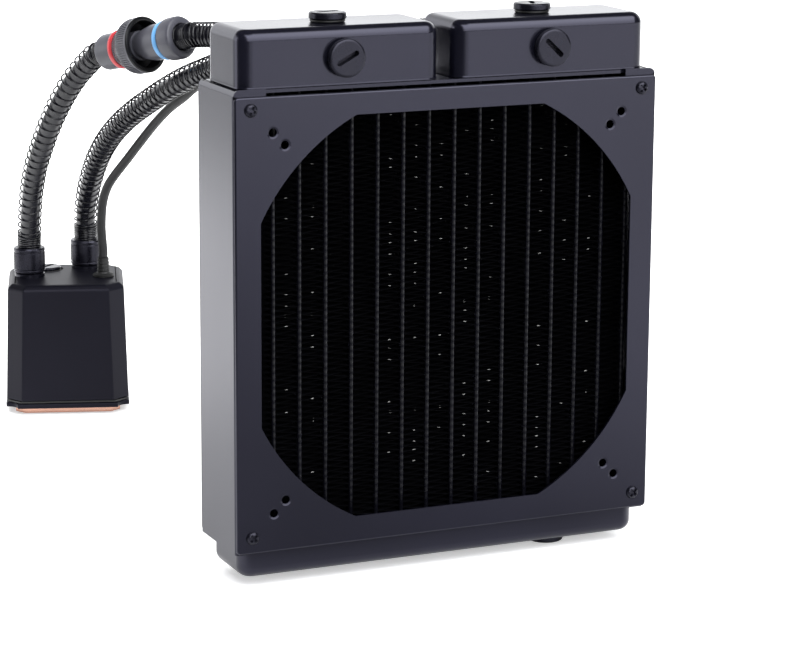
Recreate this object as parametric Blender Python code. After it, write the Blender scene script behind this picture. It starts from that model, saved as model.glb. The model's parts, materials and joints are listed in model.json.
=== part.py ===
"""All in one liquid cooler for a processor.

A square radiator with two tanks on top and one below, a pump block with a copper cold
plate, and two hoses between them, one of which has a quick coupling in it.

Metres, +Z up. The radiator's fan face looks along -Y and the pump stands behind it.
The origin is the middle of the footprint, on the surface that the cooler stands on.
"""

import math

import bmesh
import bpy
from mathutils import Matrix, Vector

for old in list(bpy.data.objects):
    bpy.data.objects.remove(old, do_unlink=True)

mm = 0.001

# Fits
GAP = 0.3 * mm  # between pieces that touch on the real cooler
SHEET = 1.2 * mm  # thickness of all folded sheet

# Radiator: core. Heights in the radiator are counted from the middle of the fan's opening
TUBES = 16
TUBE_PITCH = 12.4 * mm
TUBE_THICK = 2.0 * mm
TUBE_WALL = 0.4 * mm
CORE_FRONT = 9.5 * mm  # from the plate's face to the tubes
TUBE_INTO_TANK = 3 * mm
FIN_SHEET = 0.35 * mm
FOLDS = 7

# Radiator: fan plates
OPENING_RADIUS = 101 * mm
OPENING_CUT = 10.8 * mm  # the round opening is cut off flat this far inside its circle
OPENING_HALF = OPENING_RADIUS - OPENING_CUT
RIM_BELOW = 11.8 * mm
RIM_ABOVE = 10 * mm
PLATE_BELOW = OPENING_HALF + RIM_BELOW
PLATE_ABOVE = OPENING_HALF + RIM_ABOVE
PLATE_CORNER = 1.6 * mm
FAN_HOLES = (78.9 * mm, 84.5 * mm)  # half the spacing of the inner and outer sets
FAN_HOLE_RADIUS = 2.4 * mm
TAB_LENGTH = 15 * mm  # folded corner tabs that reach in under the tanks

# Radiator: headers and tanks
HEADER = 1.5 * mm
HEADER_TOP = PLATE_ABOVE + 1 * mm  # a dark slot shows between the plate and the tanks
HEADER_BOTTOM = OPENING_HALF + 3.2 * mm
TANK_MARGIN = 4.5 * mm  # from the last tube to the tank's end
TANK_HALF_WIDTH = (TUBES - 1) / 2 * TUBE_PITCH + TUBE_THICK / 2 + TANK_MARGIN
TANK_FRONT = 3.9 * mm  # the tanks stand this far behind the front plate's face
TOP_REAR = 1 * mm  # and the top tanks end this far before the back plate's face
TANK_GAP = 7.2 * mm  # between the two tanks on top
TANK_EDGE = 3.2 * mm  # rounding of the tanks' edges
TOP_TANK_HEIGHT = 25.2 * mm
BOTTOM_TANK_HEIGHT = 19.6 * mm
TANK_TOP = HEADER_TOP + HEADER + GAP + TOP_TANK_HEIGHT
TANK_BOTTOM = HEADER_BOTTOM + HEADER + GAP + BOTTOM_TANK_HEIGHT

# Radiator: housing
HOUSING_DEPTH = 45 * mm  # over both fan plates
PANEL_CLEAR = 2.3 * mm  # between the tanks and the side panels
PLATE_WIDTH = 2 * (TANK_HALF_WIDTH + PANEL_CLEAR + SHEET)
SIDE_BELOW = PLATE_BELOW + 0.5 * mm
SIDE_ABOVE = PLATE_ABOVE + 3.1 * mm
LIP = 11 * mm
SCREW_INSET = 7.4 * mm
SCREWS_ACROSS = PLATE_WIDTH / 2 - SCREW_INSET
SCREWS_UP = PLATE_BELOW - SCREW_INSET
SCREW_RADIUS = 1.5 * mm
SCREW_HEAD = 1.6 * mm
SCREW_HEAD_RADIUS = 2.9 * mm
SCREW_LENGTH = TANK_FRONT - 2 * GAP  # they end before the tanks

# Ports, plugs and hose fittings, all with the same quarter inch pipe thread
PORT_INSET = 48.7 * mm  # from the tank's end
PORT_X = TANK_HALF_WIDTH - PORT_INSET
PORT_DOWN = 13.4 * mm  # from the tank's top
DRAIN_INSET = 37.5 * mm
DRAIN_X = TANK_HALF_WIDTH - DRAIN_INSET
BORE_RADIUS = 6.7 * mm
BUSH_WALL = 1.7 * mm
BUSH_LENGTH = 6 * mm
THREAD_RADIUS = BORE_RADIUS - GAP
THREAD_LENGTH = 5 * mm
HEAD_RADIUS = 8.4 * mm
HEAD_THICK = 3.0 * mm
HEAD_EDGE = 0.5 * mm
SEAL_THICK = 0.9 * mm
SLOT = (12.4 * mm, 2.0 * mm, 1.5 * mm)  # the coin slot's length, width and depth

# Hoses, with the spring that is wound round them
HOSE_RADIUS = 6.65 * mm
NUT_RADIUS = 8.6 * mm
NUT_LENGTH = 13.6 * mm
NUT_EDGE = 0.6 * mm
COLLAR_RADIUS = 7.7 * mm
COLLAR_LENGTH = 3.2 * mm
HOSE_STRAIGHT = 15 * mm  # the stretch of hose that a nut or a coupling holds straight
HOSE_HELD = 8 * mm  # how far the coupling takes a hose in
HOSE_STEP = 30 * mm  # between the points of a hose's solid
CABLE_STEP = 15 * mm

# Pump block
PUMP_X = -61.8 * mm
PUMP_BEHIND = 364.2 * mm  # from the fan face to the pump's middle
PUMP_TURN = math.radians(18)
BASE_HALF = 33.4 * mm
BASE_SCALLOP = 6.2 * mm
BASE_THICK = 2.9 * mm
SEAL_GROOVE = 0.9 * mm
COPPER_HALF = 28.4 * mm
COPPER_CORNER = 5 * mm
COPPER_THICK = 3.2 * mm
COPPER_EDGE = 0.4 * mm
COPPER_FINS = 9
FIN_BLOCK = 15 * mm  # half of the finned square in the middle of the cold plate
SHELL_HALF = 33.1 * mm
SHELL_TOP_HALF = 31.4 * mm
SHELL_CORNER = 6.6 * mm
SHELL_TOP = 71 * mm
SHELL_WALL = 2.6 * mm
SHELL_CHAMFER = 1.6 * mm
COVER_THICK = 1.0 * mm
COVER_MARGIN = 2.2 * mm
INLET = (-19.7 * mm, -0.5 * mm)
OUTLET = (11.3 * mm, 20.2 * mm)
FILLER = (-10.3 * mm, 17.8 * mm)
GLAND = (20.6 * mm, -5.4 * mm)

# Inside the pump block, from below
CHAMBER_HALF = 25 * mm
CHAMBER_CORNER = 6 * mm
CHAMBER_FLOOR = 2.4 * mm
CHAMBER_DEEP = 15 * mm
CHAMBER_BORE = 16 * mm
JET = (8 * mm, 3.2 * mm)  # the jet hole's place and radius
CAN_RADIUS = 9.6 * mm
CAN_WALL = 0.8 * mm
CAN_HEIGHT = 30 * mm
CAN_FLANGE = (20 * mm, 2 * mm)
SHAFT_RADIUS = 1.5 * mm
IMPELLER_RADIUS = 13 * mm
IMPELLER_UP = 6 * mm
IMPELLER_DISC = 2 * mm
BLADES = 6
BLADE_THICK = 1.2 * mm
BLADE_DEEP = 4 * mm
BLADE_CURL = 0.9  # radians from the hub to the tip
MAGNET_CLEAR = 1.2 * mm
MAGNET_DOWN = 3 * mm
STATOR_RADIUS = 21 * mm
STATOR_WALL = 3.5 * mm
STATOR_DOWN = 5 * mm
TEETH = 6
TOOTH_HALF = 4 * mm
TOOTH_PAST = 3 * mm  # the wound teeth stand past the ring at both ends
BOARD_HALF = 24 * mm
BOARD_THICK = 1.6 * mm

# Quick coupling: distances along it run from its pump end towards the radiator
COUPLING_START = Vector((-66.9, 71.9, 205.0)) * mm
COUPLING_WAY = Vector((0.423, -0.878, 0.223)).normalized()
SOCKET_RADIUS = 9.3 * mm
RING_AT = 11.0 * mm
RING_WIDE = 2.4 * mm
SLEEVE_RADIUS = 14.3 * mm
SLEEVE_MOUTH = 30 * mm
INSERT_RADIUS = 9.2 * mm
INSERT_RING_AT = 43.4 * mm
FLANGE_RADIUS = 10.9 * mm
COUPLING_LENGTH = 56 * mm
RING_GROOVE = 1 * mm
RING_PROUD = 0.3 * mm
NECK_RADIUS = 7.6 * mm
SOCKET_END = 26 * mm
NOSE_RADIUS = 5.2 * mm
NOSE_AT = 17 * mm
SLEEVE_CONE = 7 * mm
SLEEVE_WALL = 1.5 * mm

# Cable
CABLE_RADIUS = 2.5 * mm
BOOT_RADIUS = 3.2 * mm
BOOT_FOOT = 5.2 * mm
BOOT_HEIGHT = 12 * mm
PLUG_SIZE = (7.8 * mm, 5.8 * mm, 12.6 * mm)
PIN_PITCH = 2.54 * mm
PIN_HALF = 0.6 * mm
PIN_DEEP = 6 * mm

SIDES = 12  # of a turned piece
MANY_SIDES = 16  # of a larger one
FEW_SIDES = 6  # of a small hole or screw

# Places that several pieces share
HOLES_UP = TANK_BOTTOM + GAP + SEAL_THICK + GAP + HEAD_THICK  # middle of the fan holes
BASE_REACH = BASE_HALF * math.cos(PUMP_TURN) + (BASE_HALF - BASE_SCALLOP) * math.sin(PUMP_TURN)
FULL_DEPTH = PUMP_BEHIND + BASE_REACH
FACE_Y = SCREW_HEAD - (FULL_DEPTH + SCREW_HEAD) / 2
MIDDLE_Y = FACE_Y + HOUSING_DEPTH / 2
TOP_BACK = HOUSING_DEPTH - TOP_REAR
BOTTOM_BACK = HOUSING_DEPTH - TANK_FRONT
PORT_Z = HOLES_UP + TANK_TOP - PORT_DOWN
PUMP_Y = FACE_Y + PUMP_BEHIND
BASE_TOP = COPPER_THICK + BASE_THICK
SHELL_LOW = BASE_TOP + GAP + SEAL_GROOVE + GAP

FRONT, BACK, UP, DOWN = Vector((0, -1, 0)), Vector((0, 1, 0)), Vector((0, 0, 1)), Vector((0, 0, -1))


# Tools

def material(name, colour, rough, metal=0.0):
    """A Principled material, made once."""
    made = bpy.data.materials.get(name)
    if made is None:
        made = bpy.data.materials.new(name)
        made.use_nodes = True
        shader = made.node_tree.nodes["Principled BSDF"]
        shader.inputs["Base Color"].default_value = (*colour, 1)
        shader.inputs["Roughness"].default_value = rough
        shader.inputs["Metallic"].default_value = metal
    return made


BLACK_STEEL = material("black_steel", (0.028, 0.028, 0.036), 0.4, 0.3)
DARK_TUBE = material("dark_tube", (0.02, 0.02, 0.024), 0.5, 0.3)
BLACK_METAL = material("black_metal", (0.02, 0.02, 0.022), 0.4, 0.5)
RUBBER = material("rubber", (0.012, 0.012, 0.012), 0.6)
HOSE = material("hose", (0.014, 0.014, 0.016), 0.4)
GREY_PLASTIC = material("grey_plastic", (0.12, 0.125, 0.15), 0.5)
RED_PLASTIC = material("red_plastic", (0.6, 0.05, 0.06), 0.4)
BLUE_PLASTIC = material("blue_plastic", (0.16, 0.4, 0.7), 0.4)
PUMP_PLASTIC = material("pump_plastic", (0.014, 0.014, 0.018), 0.5)
COPPER = material("copper", (0.6, 0.3, 0.2), 0.25, 1.0)
STEEL = material("steel", (0.5, 0.5, 0.5), 0.3, 1.0)
BOARD = material("board", (0.02, 0.1, 0.04), 0.5)
SLEEVING = material("sleeving", (0.012, 0.012, 0.013), 0.7)


def place(name, bm, look, at=(0, 0, 0), way=UP, parent=None):
    """Makes an object of a closed mesh, with its local +Z along way."""
    bmesh.ops.recalc_face_normals(bm, faces=bm.faces)
    mesh = bpy.data.meshes.new(name)
    bm.to_mesh(mesh)
    bm.free()
    mesh.materials.append(look)
    mesh.shade_smooth()
    mesh.set_sharp_from_angle(angle=math.radians(35))
    made = bpy.data.objects.new(name, mesh)
    bpy.context.collection.objects.link(made)
    made.matrix_local = Matrix.Translation(at) @ turn_to(way)
    made.parent = parent
    return made


def turn_to(way):
    """The turn that takes +Z to way, and keeps +X level."""
    z = Vector(way).normalized()
    x = Vector((1, 0, 0)) if abs(z.z) > 0.999 else Vector((-z.y, z.x, 0)).normalized()
    y = z.cross(x)
    return Matrix((x, y, z)).transposed().to_4x4()


def cut(target, cutter, operation="DIFFERENCE"):
    """Cuts one object with another, which is then left out of the part."""
    cutter.hide_render = True
    cutter.display_type = "WIRE"
    step = target.modifiers.new(cutter.name, "BOOLEAN")
    step.operation = operation
    step.solver = "EXACT"
    step.object = cutter
    return target


def circle(radius, sides, x=0.0, y=0.0):
    angles = [math.tau * (i + 0.5) / sides for i in range(sides)]
    return [(x + radius * math.cos(a), y + radius * math.sin(a)) for a in angles]


def rectangle(low_x, high_x, low_y, high_y):
    return [(low_x, low_y), (high_x, low_y), (high_x, high_y), (low_x, high_y)]


def octagon(half, corner):
    """A square with its corners cut off."""
    points = []
    for turn in range(4):
        for x, y in ((half, -half + corner), (half, half - corner)):
            points.append(rotated(x, y, turn))
    return points


def rotated(x, y, quarters):
    for _ in range(quarters):
        x, y = -y, x
    return x, y


def turned(profile, sides, ring=False, bm=None):
    """A turned body from (radius, height) points. A ring's profile closes on itself."""
    bm = bm or bmesh.new()
    rows = []
    for radius, height in profile:
        if radius == 0:
            rows.append([bm.verts.new((0, 0, height))])
        else:
            rows.append([bm.verts.new((x, y, height)) for x, y in circle(radius, sides)])
    pairs = list(zip(rows, rows[1:]))
    if ring:
        pairs.append((rows[-1], rows[0]))
    for a, b in pairs:
        for i in range(sides):
            j = (i + 1) % sides
            if len(a) == 1:
                bm.faces.new((a[0], b[i], b[j]))
            elif len(b) == 1:
                bm.faces.new((a[i], a[j], b[0]))
            else:
                bm.faces.new((a[i], a[j], b[j], b[i]))
    return bm


def slab(loops, low, high, bm=None):
    """A flat plate: the first loop is its outline and the others are holes."""
    own = bmesh.new()
    edges = []
    for loop in loops:
        verts = [own.verts.new((x, y, low)) for x, y in loop]
        edges += [own.edges.new((verts[i - 1], verts[i])) for i in range(len(verts))]
    bmesh.ops.triangle_fill(own, use_beauty=True, edges=edges)
    grown = bmesh.ops.extrude_face_region(own, geom=own.faces[:])
    moved = [v for v in grown["geom"] if isinstance(v, bmesh.types.BMVert)]
    bmesh.ops.translate(own, verts=moved, vec=(0, 0, high - low))
    bmesh.ops.recalc_face_normals(own, faces=own.faces)
    return own if bm is None else joined(bm, own)


def joined(bm, other):
    """Adds the body in other to bm."""
    mesh = bpy.data.meshes.new("scrap")
    other.to_mesh(mesh)
    other.free()
    bm.from_mesh(mesh)
    bpy.data.meshes.remove(mesh)
    return bm


def skin(loops, ring=False, bm=None):
    """A body skinned over loops of as many points each, (points, height), closed at both ends."""
    bm = bm or bmesh.new()
    rows = [[bm.verts.new((x, y, height)) for x, y in points] for points, height in loops]
    pairs = list(zip(rows, rows[1:]))
    if ring:
        pairs.append((rows[-1], rows[0]))
    else:
        bm.faces.new(rows[0])
        bm.faces.new(rows[-1])
    for a, b in pairs:
        for i in range(len(a)):
            j = (i + 1) % len(a)
            bm.faces.new((a[i], a[j], b[j], b[i]))
    return bm


def box(low, high, bm=None):
    """A plain block between two corners."""
    return skin([(rectangle(low[0], high[0], low[1], high[1]), z) for z in (low[2], high[2])], bm=bm)


def rounded_box(low, high, radius, open_z):
    """A block whose edges are rounded, apart from those on the side that is nearer to z = open_z."""
    bm = box(low, high)
    far = high[2] if abs(high[2] - open_z) > abs(low[2] - open_z) else low[2]
    sharp = [e for e in bm.edges if any(abs(v.co.z - far) < GAP for v in e.verts)]
    bmesh.ops.bevel(bm, geom=sharp, offset=radius, segments=1, profile=0.5, affect="EDGES")
    return bm


# Fan plates

CORNERS = [(-1, -1), (1, -1), (1, 1), (-1, 1)]


def opening_outline():
    """The round opening, cut off flat on its four sides."""
    flat = math.acos(OPENING_HALF / OPENING_RADIUS)
    arc = math.pi / 2 - 2 * flat
    steps = 4
    points = []
    for quarter in range(4):
        for i in range(steps + 1):
            a = quarter * math.pi / 2 + flat + arc * i / steps
            points.append((OPENING_RADIUS * math.cos(a), OPENING_RADIUS * math.sin(a)))
    return points


def fan_plate(name, y, way):
    """One face of the housing: a sheet with the fan's opening and holes, and folded corner tabs."""
    half = PLATE_WIDTH / 2
    inset = half - PLATE_CORNER
    low, high = PLATE_CORNER - PLATE_BELOW, PLATE_ABOVE - PLATE_CORNER
    outline = [(inset, -PLATE_BELOW), (half, low), (half, high), (inset, PLATE_ABOVE),
               (-inset, PLATE_ABOVE), (-half, high), (-half, low), (-inset, -PLATE_BELOW)]
    holes = [circle(FAN_HOLE_RADIUS, FEW_SIDES, sx * d, sz * d) for d in FAN_HOLES for sx, sz in CORNERS]
    holes += [circle(SCREW_RADIUS + GAP, FEW_SIDES, sx * SCREWS_ACROSS, sz * SCREWS_UP)
              for sx, sz in CORNERS]
    bm = slab([outline, opening_outline(), *holes], -SHEET, 0)
    look = place(name, bm, BLACK_STEEL, at=(0, y, HOLES_UP), way=way)
    tabs = bmesh.new()
    reach = TANK_FRONT - GAP
    for side in (-1, 1):
        ends = sorted((side * (half - TAB_LENGTH), side * (half - 2 * SHEET)))
        box((ends[0], PLATE_ABOVE - SHEET, -reach), (ends[1], PLATE_ABOVE, -SHEET / 2), bm=tabs)
    return cut(look, place(name + "_tabs", tabs, BLACK_STEEL, at=(0, y, HOLES_UP), way=way), "UNION")


fan_plate("front_plate", FACE_Y, FRONT)
fan_plate("back_plate", FACE_Y + HOUSING_DEPTH, BACK)


def pan_head_screws(name, y, way):
    """The four small screws of one fan plate."""
    head = SCREW_HEAD_RADIUS
    profile = [(0, SCREW_HEAD), (head * 0.7, SCREW_HEAD), (head, SCREW_HEAD * 0.45), (head, GAP),
               (SCREW_RADIUS, GAP), (SCREW_RADIUS, -SCREW_LENGTH), (0, -SCREW_LENGTH)]
    for number, (sx, sz) in enumerate(CORNERS, 1):
        at = (sx * SCREWS_ACROSS, y, HOLES_UP + sz * SCREWS_UP)
        place(f"{name}_{number}", turned(profile, FEW_SIDES), BLACK_METAL, at=at, way=way)


pan_head_screws("front_screw", FACE_Y, FRONT)
pan_head_screws("back_screw", FACE_Y + HOUSING_DEPTH, BACK)


# Side panels

def side_panel(name, side):
    """A folded channel: its web is the housing's side, and the plates are screwed to its lips."""
    outer = side * PLATE_WIDTH / 2
    inner = outer - side * SHEET
    edge = outer - side * LIP
    front, back = FACE_Y + SHEET + GAP, FACE_Y + HOUSING_DEPTH - SHEET - GAP
    section = [(outer, front), (outer, back), (edge, back), (edge, back - SHEET), (inner, back - SHEET),
               (inner, front + SHEET), (edge, front + SHEET), (edge, front)]
    low, high = HOLES_UP - SIDE_BELOW, HOLES_UP + SIDE_ABOVE
    panel = place(name, skin([(section, low), (section, high)]), BLACK_STEEL)
    trim = bmesh.new()
    notch = SHEET + 2 * GAP  # the lips stop short of the plates' tabs
    clear = outer - side * (SHEET + 2 * GAP)
    past = edge - side * GAP
    a, b = min(clear, past), max(clear, past)
    for y in (front + SHEET / 2, back - SHEET / 2):
        box((a, y - SHEET, HOLES_UP + PLATE_ABOVE - notch), (b, y + SHEET, high + GAP), bm=trim)
    cut(panel, place(name + "_trim", trim, BLACK_STEEL))
    bores = bmesh.new()
    across = side * SCREWS_ACROSS
    for z in (-SCREWS_UP, SCREWS_UP):
        hole = circle(SCREW_RADIUS + GAP, FEW_SIDES, across, HOLES_UP + z)
        skin([(hole, -back - GAP), (hole, -front + GAP)], bm=bores)
    drill = place(name + "_bores", bores, BLACK_STEEL)
    drill.rotation_euler = (math.pi / 2, 0, 0)
    return cut(panel, drill)


side_panel("side_panel_left", -1)
side_panel("side_panel_right", 1)


# Core: headers, flat tubes and folded fins

def slot(half, deep):
    """A flat tube's outline, x across and y along the air."""
    return rectangle(-half, half, -deep, deep)


TUBE_PLACES = [(i - (TUBES - 1) / 2) * TUBE_PITCH for i in range(TUBES)]
CORE_HALF_DEPTH = HOUSING_DEPTH / 2 - CORE_FRONT
LOWER_HEADER = HOLES_UP - HEADER_BOTTOM - HEADER
UPPER_HEADER = HOLES_UP + HEADER_TOP


def header(name, low, back):
    """The plate that the tubes are soldered into."""
    front = FACE_Y + TANK_FRONT - MIDDLE_Y
    loops = [rectangle(-TANK_HALF_WIDTH, TANK_HALF_WIDTH, front, FACE_Y + back - MIDDLE_Y)]
    hole = slot(TUBE_THICK / 2 + GAP, CORE_HALF_DEPTH + GAP)
    loops += [[(x + px, y) for px, y in hole] for x in TUBE_PLACES]
    return place(name, slab(loops, 0, HEADER), BLACK_STEEL, at=(0, MIDDLE_Y, low))


header("lower_header", LOWER_HEADER, BOTTOM_BACK)
header("upper_header", UPPER_HEADER, TOP_BACK)


def radiator_core():
    """Flat tubes with a folded strip of fins soldered between each two of them, in one piece.

    It is drawn from the front, as one outline with a three-cornered hole in each fold of the
    fins, and given its depth. Then the tubes are opened from end to end.
    """
    low, high = LOWER_HEADER - TUBE_INTO_TANK, UPPER_HEADER + HEADER + TUBE_INTO_TANK
    fins_low, fins_high = LOWER_HEADER + HEADER + GAP, UPPER_HEADER - GAP
    half = TUBE_THICK / 2
    wide = TUBE_PITCH - TUBE_THICK
    first = fins_low + FIN_SHEET
    rise = (fins_high - FIN_SHEET - first) / FOLDS
    thick = FIN_SHEET * math.hypot(wide, rise) / wide / 2  # half of a fin's height across its slope
    lower, upper, holes = [], [], []
    for left, right in zip(TUBE_PLACES, TUBE_PLACES[1:]):
        walls = (left + half, right - half)
        lower += [(left - half, low), (left + half, low)]
        lower += [(walls[0], first - thick), (walls[1], first + rise - thick)]
        last = FOLDS % 2
        top = first + FOLDS * rise
        upper += [(left - half, high), (left + half, high)]
        slope = [(walls[last], top + thick), (walls[1 - last], top - rise + thick)]
        upper += sorted(slope)
        for i in range(1, FOLDS):
            base = walls[(i + 1) % 2]
            tip = base + (walls[i % 2] - base) * (1 - thick / rise)
            middle = first + i * rise
            holes.append([(base, middle - rise + thick), (base, middle + rise - thick), (tip, middle)])
    end = TUBE_PLACES[-1]
    lower += [(end - half, low), (end + half, low)]
    upper += [(end - half, high), (end + half, high)]
    drawn = slab([[*lower, *reversed(upper)], *holes], -CORE_HALF_DEPTH, CORE_HALF_DEPTH)
    for v in drawn.verts:
        v.co = Vector((v.co.x, v.co.z, v.co.y))
    core = place("radiator_core", drawn, DARK_TUBE, at=(0, MIDDLE_Y, 0))
    ways = bmesh.new()
    inside = slot(half - TUBE_WALL, CORE_HALF_DEPTH - TUBE_WALL)
    for x in TUBE_PLACES:
        loop = [(x + px, y) for px, y in inside]
        skin([(loop, low - GAP), (loop, high + GAP)], bm=ways)
    return cut(core, place("waterways", ways, DARK_TUBE, at=(0, MIDDLE_Y, 0)))


radiator_core()


# Tanks and their ports

class Port:
    """A threaded port: where its axis meets the outside, the way out, and how its plug's slot is turned."""

    def __init__(self, name, at, out, slot_turn=0):
        self.name, self.at, self.out, self.slot_turn = name, Vector(at), out, math.radians(slot_turn)


TOP_Z = HOLES_UP + TANK_TOP
BOTTOM_Z = HOLES_UP - TANK_BOTTOM
LEFT_PORTS = [Port("front_left", (-PORT_X, FACE_Y + TANK_FRONT, PORT_Z), FRONT, 28),
              Port("top_left", (-PORT_X, MIDDLE_Y, TOP_Z), UP, 15),
              Port("back_left", (-PORT_X, FACE_Y + TOP_BACK, PORT_Z), BACK)]
RIGHT_PORTS = [Port("front_right", (PORT_X, FACE_Y + TANK_FRONT, PORT_Z), FRONT, -43),
               Port("top_right", (PORT_X, MIDDLE_Y, TOP_Z), UP, 70),
               Port("back_right", (PORT_X, FACE_Y + TOP_BACK, PORT_Z), BACK)]
DRAIN = Port("drain", (DRAIN_X, MIDDLE_Y, BOTTOM_Z), DOWN)


def bodies_at(ports, profile):
    """One turned body at each port."""
    bm = bmesh.new()
    for port in ports:
        one = turned(profile, SIDES)
        bmesh.ops.transform(one, matrix=Matrix.Translation(port.at) @ turn_to(port.out), verts=one.verts)
        joined(bm, one)
    return bm


def tank(name, low_x, high_x, low_z, high_z, open_z, back, ports):
    """A box of sheet, open towards its header, with a round hole for each port's bush."""
    low = Vector((low_x, FACE_Y + TANK_FRONT, low_z))
    high = Vector((high_x, FACE_Y + back, high_z))
    look = place(name, rounded_box(low, high, TANK_EDGE, open_z), BLACK_STEEL)
    wall = Vector((SHEET, SHEET, SHEET))
    inner_low, inner_high = low + wall, high - wall
    if open_z == low_z:
        inner_low.z = low_z - wall.z
    else:
        inner_high.z = high_z + wall.z
    inside = rounded_box(inner_low, inner_high, TANK_EDGE - SHEET, open_z)
    cut(look, place(name + "_inside", inside, BLACK_STEEL))
    boss_radius = BORE_RADIUS + BUSH_WALL
    root, end = -SHEET / 2, -BUSH_LENGTH
    boss = [(0, root), (boss_radius, root), (boss_radius, end), (0, end)]
    bore = [(0, GAP), (BORE_RADIUS, GAP), (BORE_RADIUS, end - GAP), (0, end - GAP)]
    cut(look, place(name + "_bosses", bodies_at(ports, boss), BLACK_STEEL), "UNION")
    return cut(look, place(name + "_bores", bodies_at(ports, bore), BLACK_STEEL))


TANK_OPEN = UPPER_HEADER + HEADER + GAP
tank("top_tank_left", -TANK_HALF_WIDTH, -TANK_GAP / 2, TANK_OPEN, TOP_Z, TANK_OPEN, TOP_BACK, LEFT_PORTS)
tank("top_tank_right", TANK_GAP / 2, TANK_HALF_WIDTH, TANK_OPEN, TOP_Z, TANK_OPEN, TOP_BACK, RIGHT_PORTS)
tank("bottom_tank", -TANK_HALF_WIDTH, TANK_HALF_WIDTH, BOTTOM_Z, LOWER_HEADER - GAP,
     LOWER_HEADER - GAP, BOTTOM_BACK, [DRAIN])


# Screw plugs with a coin slot, and their sealing rings

def plug(port, parent=None):
    """A plug and its ring. Both have their origin on the thread's axis, at the bush's face."""
    seat = GAP + SEAL_THICK + GAP
    top = seat + HEAD_THICK
    rim = HEAD_RADIUS - HEAD_EDGE
    profile = [(0, top), (rim, top), (HEAD_RADIUS, top - HEAD_EDGE), (HEAD_RADIUS, seat),
               (THREAD_RADIUS, seat), (THREAD_RADIUS, -THREAD_LENGTH), (0, -THREAD_LENGTH)]
    body = place("plug_" + port.name, turned(profile, SIDES), BLACK_METAL, port.at, port.out, parent)
    length, width, depth = SLOT
    tool = box((-length / 2, -width / 2, top - depth), (length / 2, width / 2, top + GAP))
    turn = Matrix.Rotation(port.slot_turn, 3, "Z")
    bmesh.ops.rotate(tool, verts=tool.verts, cent=(0, 0, 0), matrix=turn)
    cut(body, place("slot_" + port.name, tool, BLACK_METAL, port.at, port.out, parent))
    inner = THREAD_RADIUS + GAP
    ring = [(inner, GAP), (rim, GAP), (rim, GAP + SEAL_THICK), (inner, GAP + SEAL_THICK)]
    place("seal_" + port.name, turned(ring, SIDES, True), RUBBER, port.at, port.out, parent)
    return body


for port in (LEFT_PORTS[0], LEFT_PORTS[1], RIGHT_PORTS[0], RIGHT_PORTS[1], DRAIN):
    plug(port)


# Hose fittings

def fitting(name, at, out, parent=None):
    """A threaded collar, and the nut that clamps the hose down on it."""
    top = GAP + COLLAR_LENGTH
    profile = [(0, top), (COLLAR_RADIUS, top), (COLLAR_RADIUS, GAP), (THREAD_RADIUS, GAP),
               (THREAD_RADIUS, -THREAD_LENGTH), (0, -THREAD_LENGTH)]
    place(name + "_body", turned(profile, SIDES), BLACK_METAL, at, out, parent)
    low = top + GAP
    high = low + NUT_LENGTH
    bore = HOSE_RADIUS + GAP
    nut = [(bore, low), (NUT_RADIUS, low), (NUT_RADIUS, high - NUT_EDGE), (NUT_RADIUS - NUT_EDGE, high),
           (bore, high)]
    place(name + "_nut", turned(nut, SIDES, True), BLACK_METAL, at, out, parent)


HOSE_SEAT = GAP + COLLAR_LENGTH + GAP  # the hose's end, above the port
fitting("fitting_left", LEFT_PORTS[2].at, BACK)
fitting("fitting_right", RIGHT_PORTS[2].at, BACK)


# Pump block

pump = bpy.data.objects.new("pump_place", None)
bpy.context.collection.objects.link(pump)
pump.location = (PUMP_X, PUMP_Y, 0)
pump.rotation_euler = (0, 0, -PUMP_TURN)


def scalloped(half, radius, steps=3):
    """A square with a round bite out of each corner."""
    points = []
    for turn in range(4):
        for i in range(steps + 1):
            a = math.pi / 2 * i / steps
            points.append(rotated(half - radius * math.sin(a), half - radius * math.cos(a), turn))
    return points


def pump_base():
    """The copper cold plate with its fine fins, the frame that holds it, and the seal on that."""
    edge = octagon(COPPER_HALF, COPPER_CORNER)
    eased = octagon(COPPER_HALF - COPPER_EDGE, COPPER_CORNER)
    copper = skin([(eased, 0), (edge, COPPER_EDGE), (edge, COPPER_THICK)])
    plate = place("cold_plate", copper, COPPER, parent=pump)
    pitch = 2 * FIN_BLOCK / COPPER_FINS
    fins = bmesh.new()
    for i in range(COPPER_FINS):
        x = -FIN_BLOCK + (i + 0.5) * pitch
        box((x - pitch / 4, -FIN_BLOCK, COPPER_THICK - GAP),
            (x + pitch / 4, FIN_BLOCK, BASE_TOP - GAP), bm=fins)
    cut(plate, place("cold_plate_fins", fins, COPPER, parent=pump), "UNION")
    window = octagon(FIN_BLOCK + 2 * mm, 3 * mm)
    frame = slab([scalloped(BASE_HALF, BASE_SCALLOP), window], COPPER_THICK + GAP, BASE_TOP)
    place("base_frame", frame, BLACK_METAL, parent=pump)
    inner, outer = octagon(CHAMBER_HALF - 3 * mm, 5 * mm), octagon(SHELL_HALF - 0.8 * mm, SHELL_CORNER)
    low, high = BASE_TOP + GAP, BASE_TOP + GAP + SEAL_GROOVE
    gasket = skin([(inner, low), (outer, low), (outer, high), (inner, high)], ring=True)
    place("base_seal", gasket, RUBBER, parent=pump)


pump_base()


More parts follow.
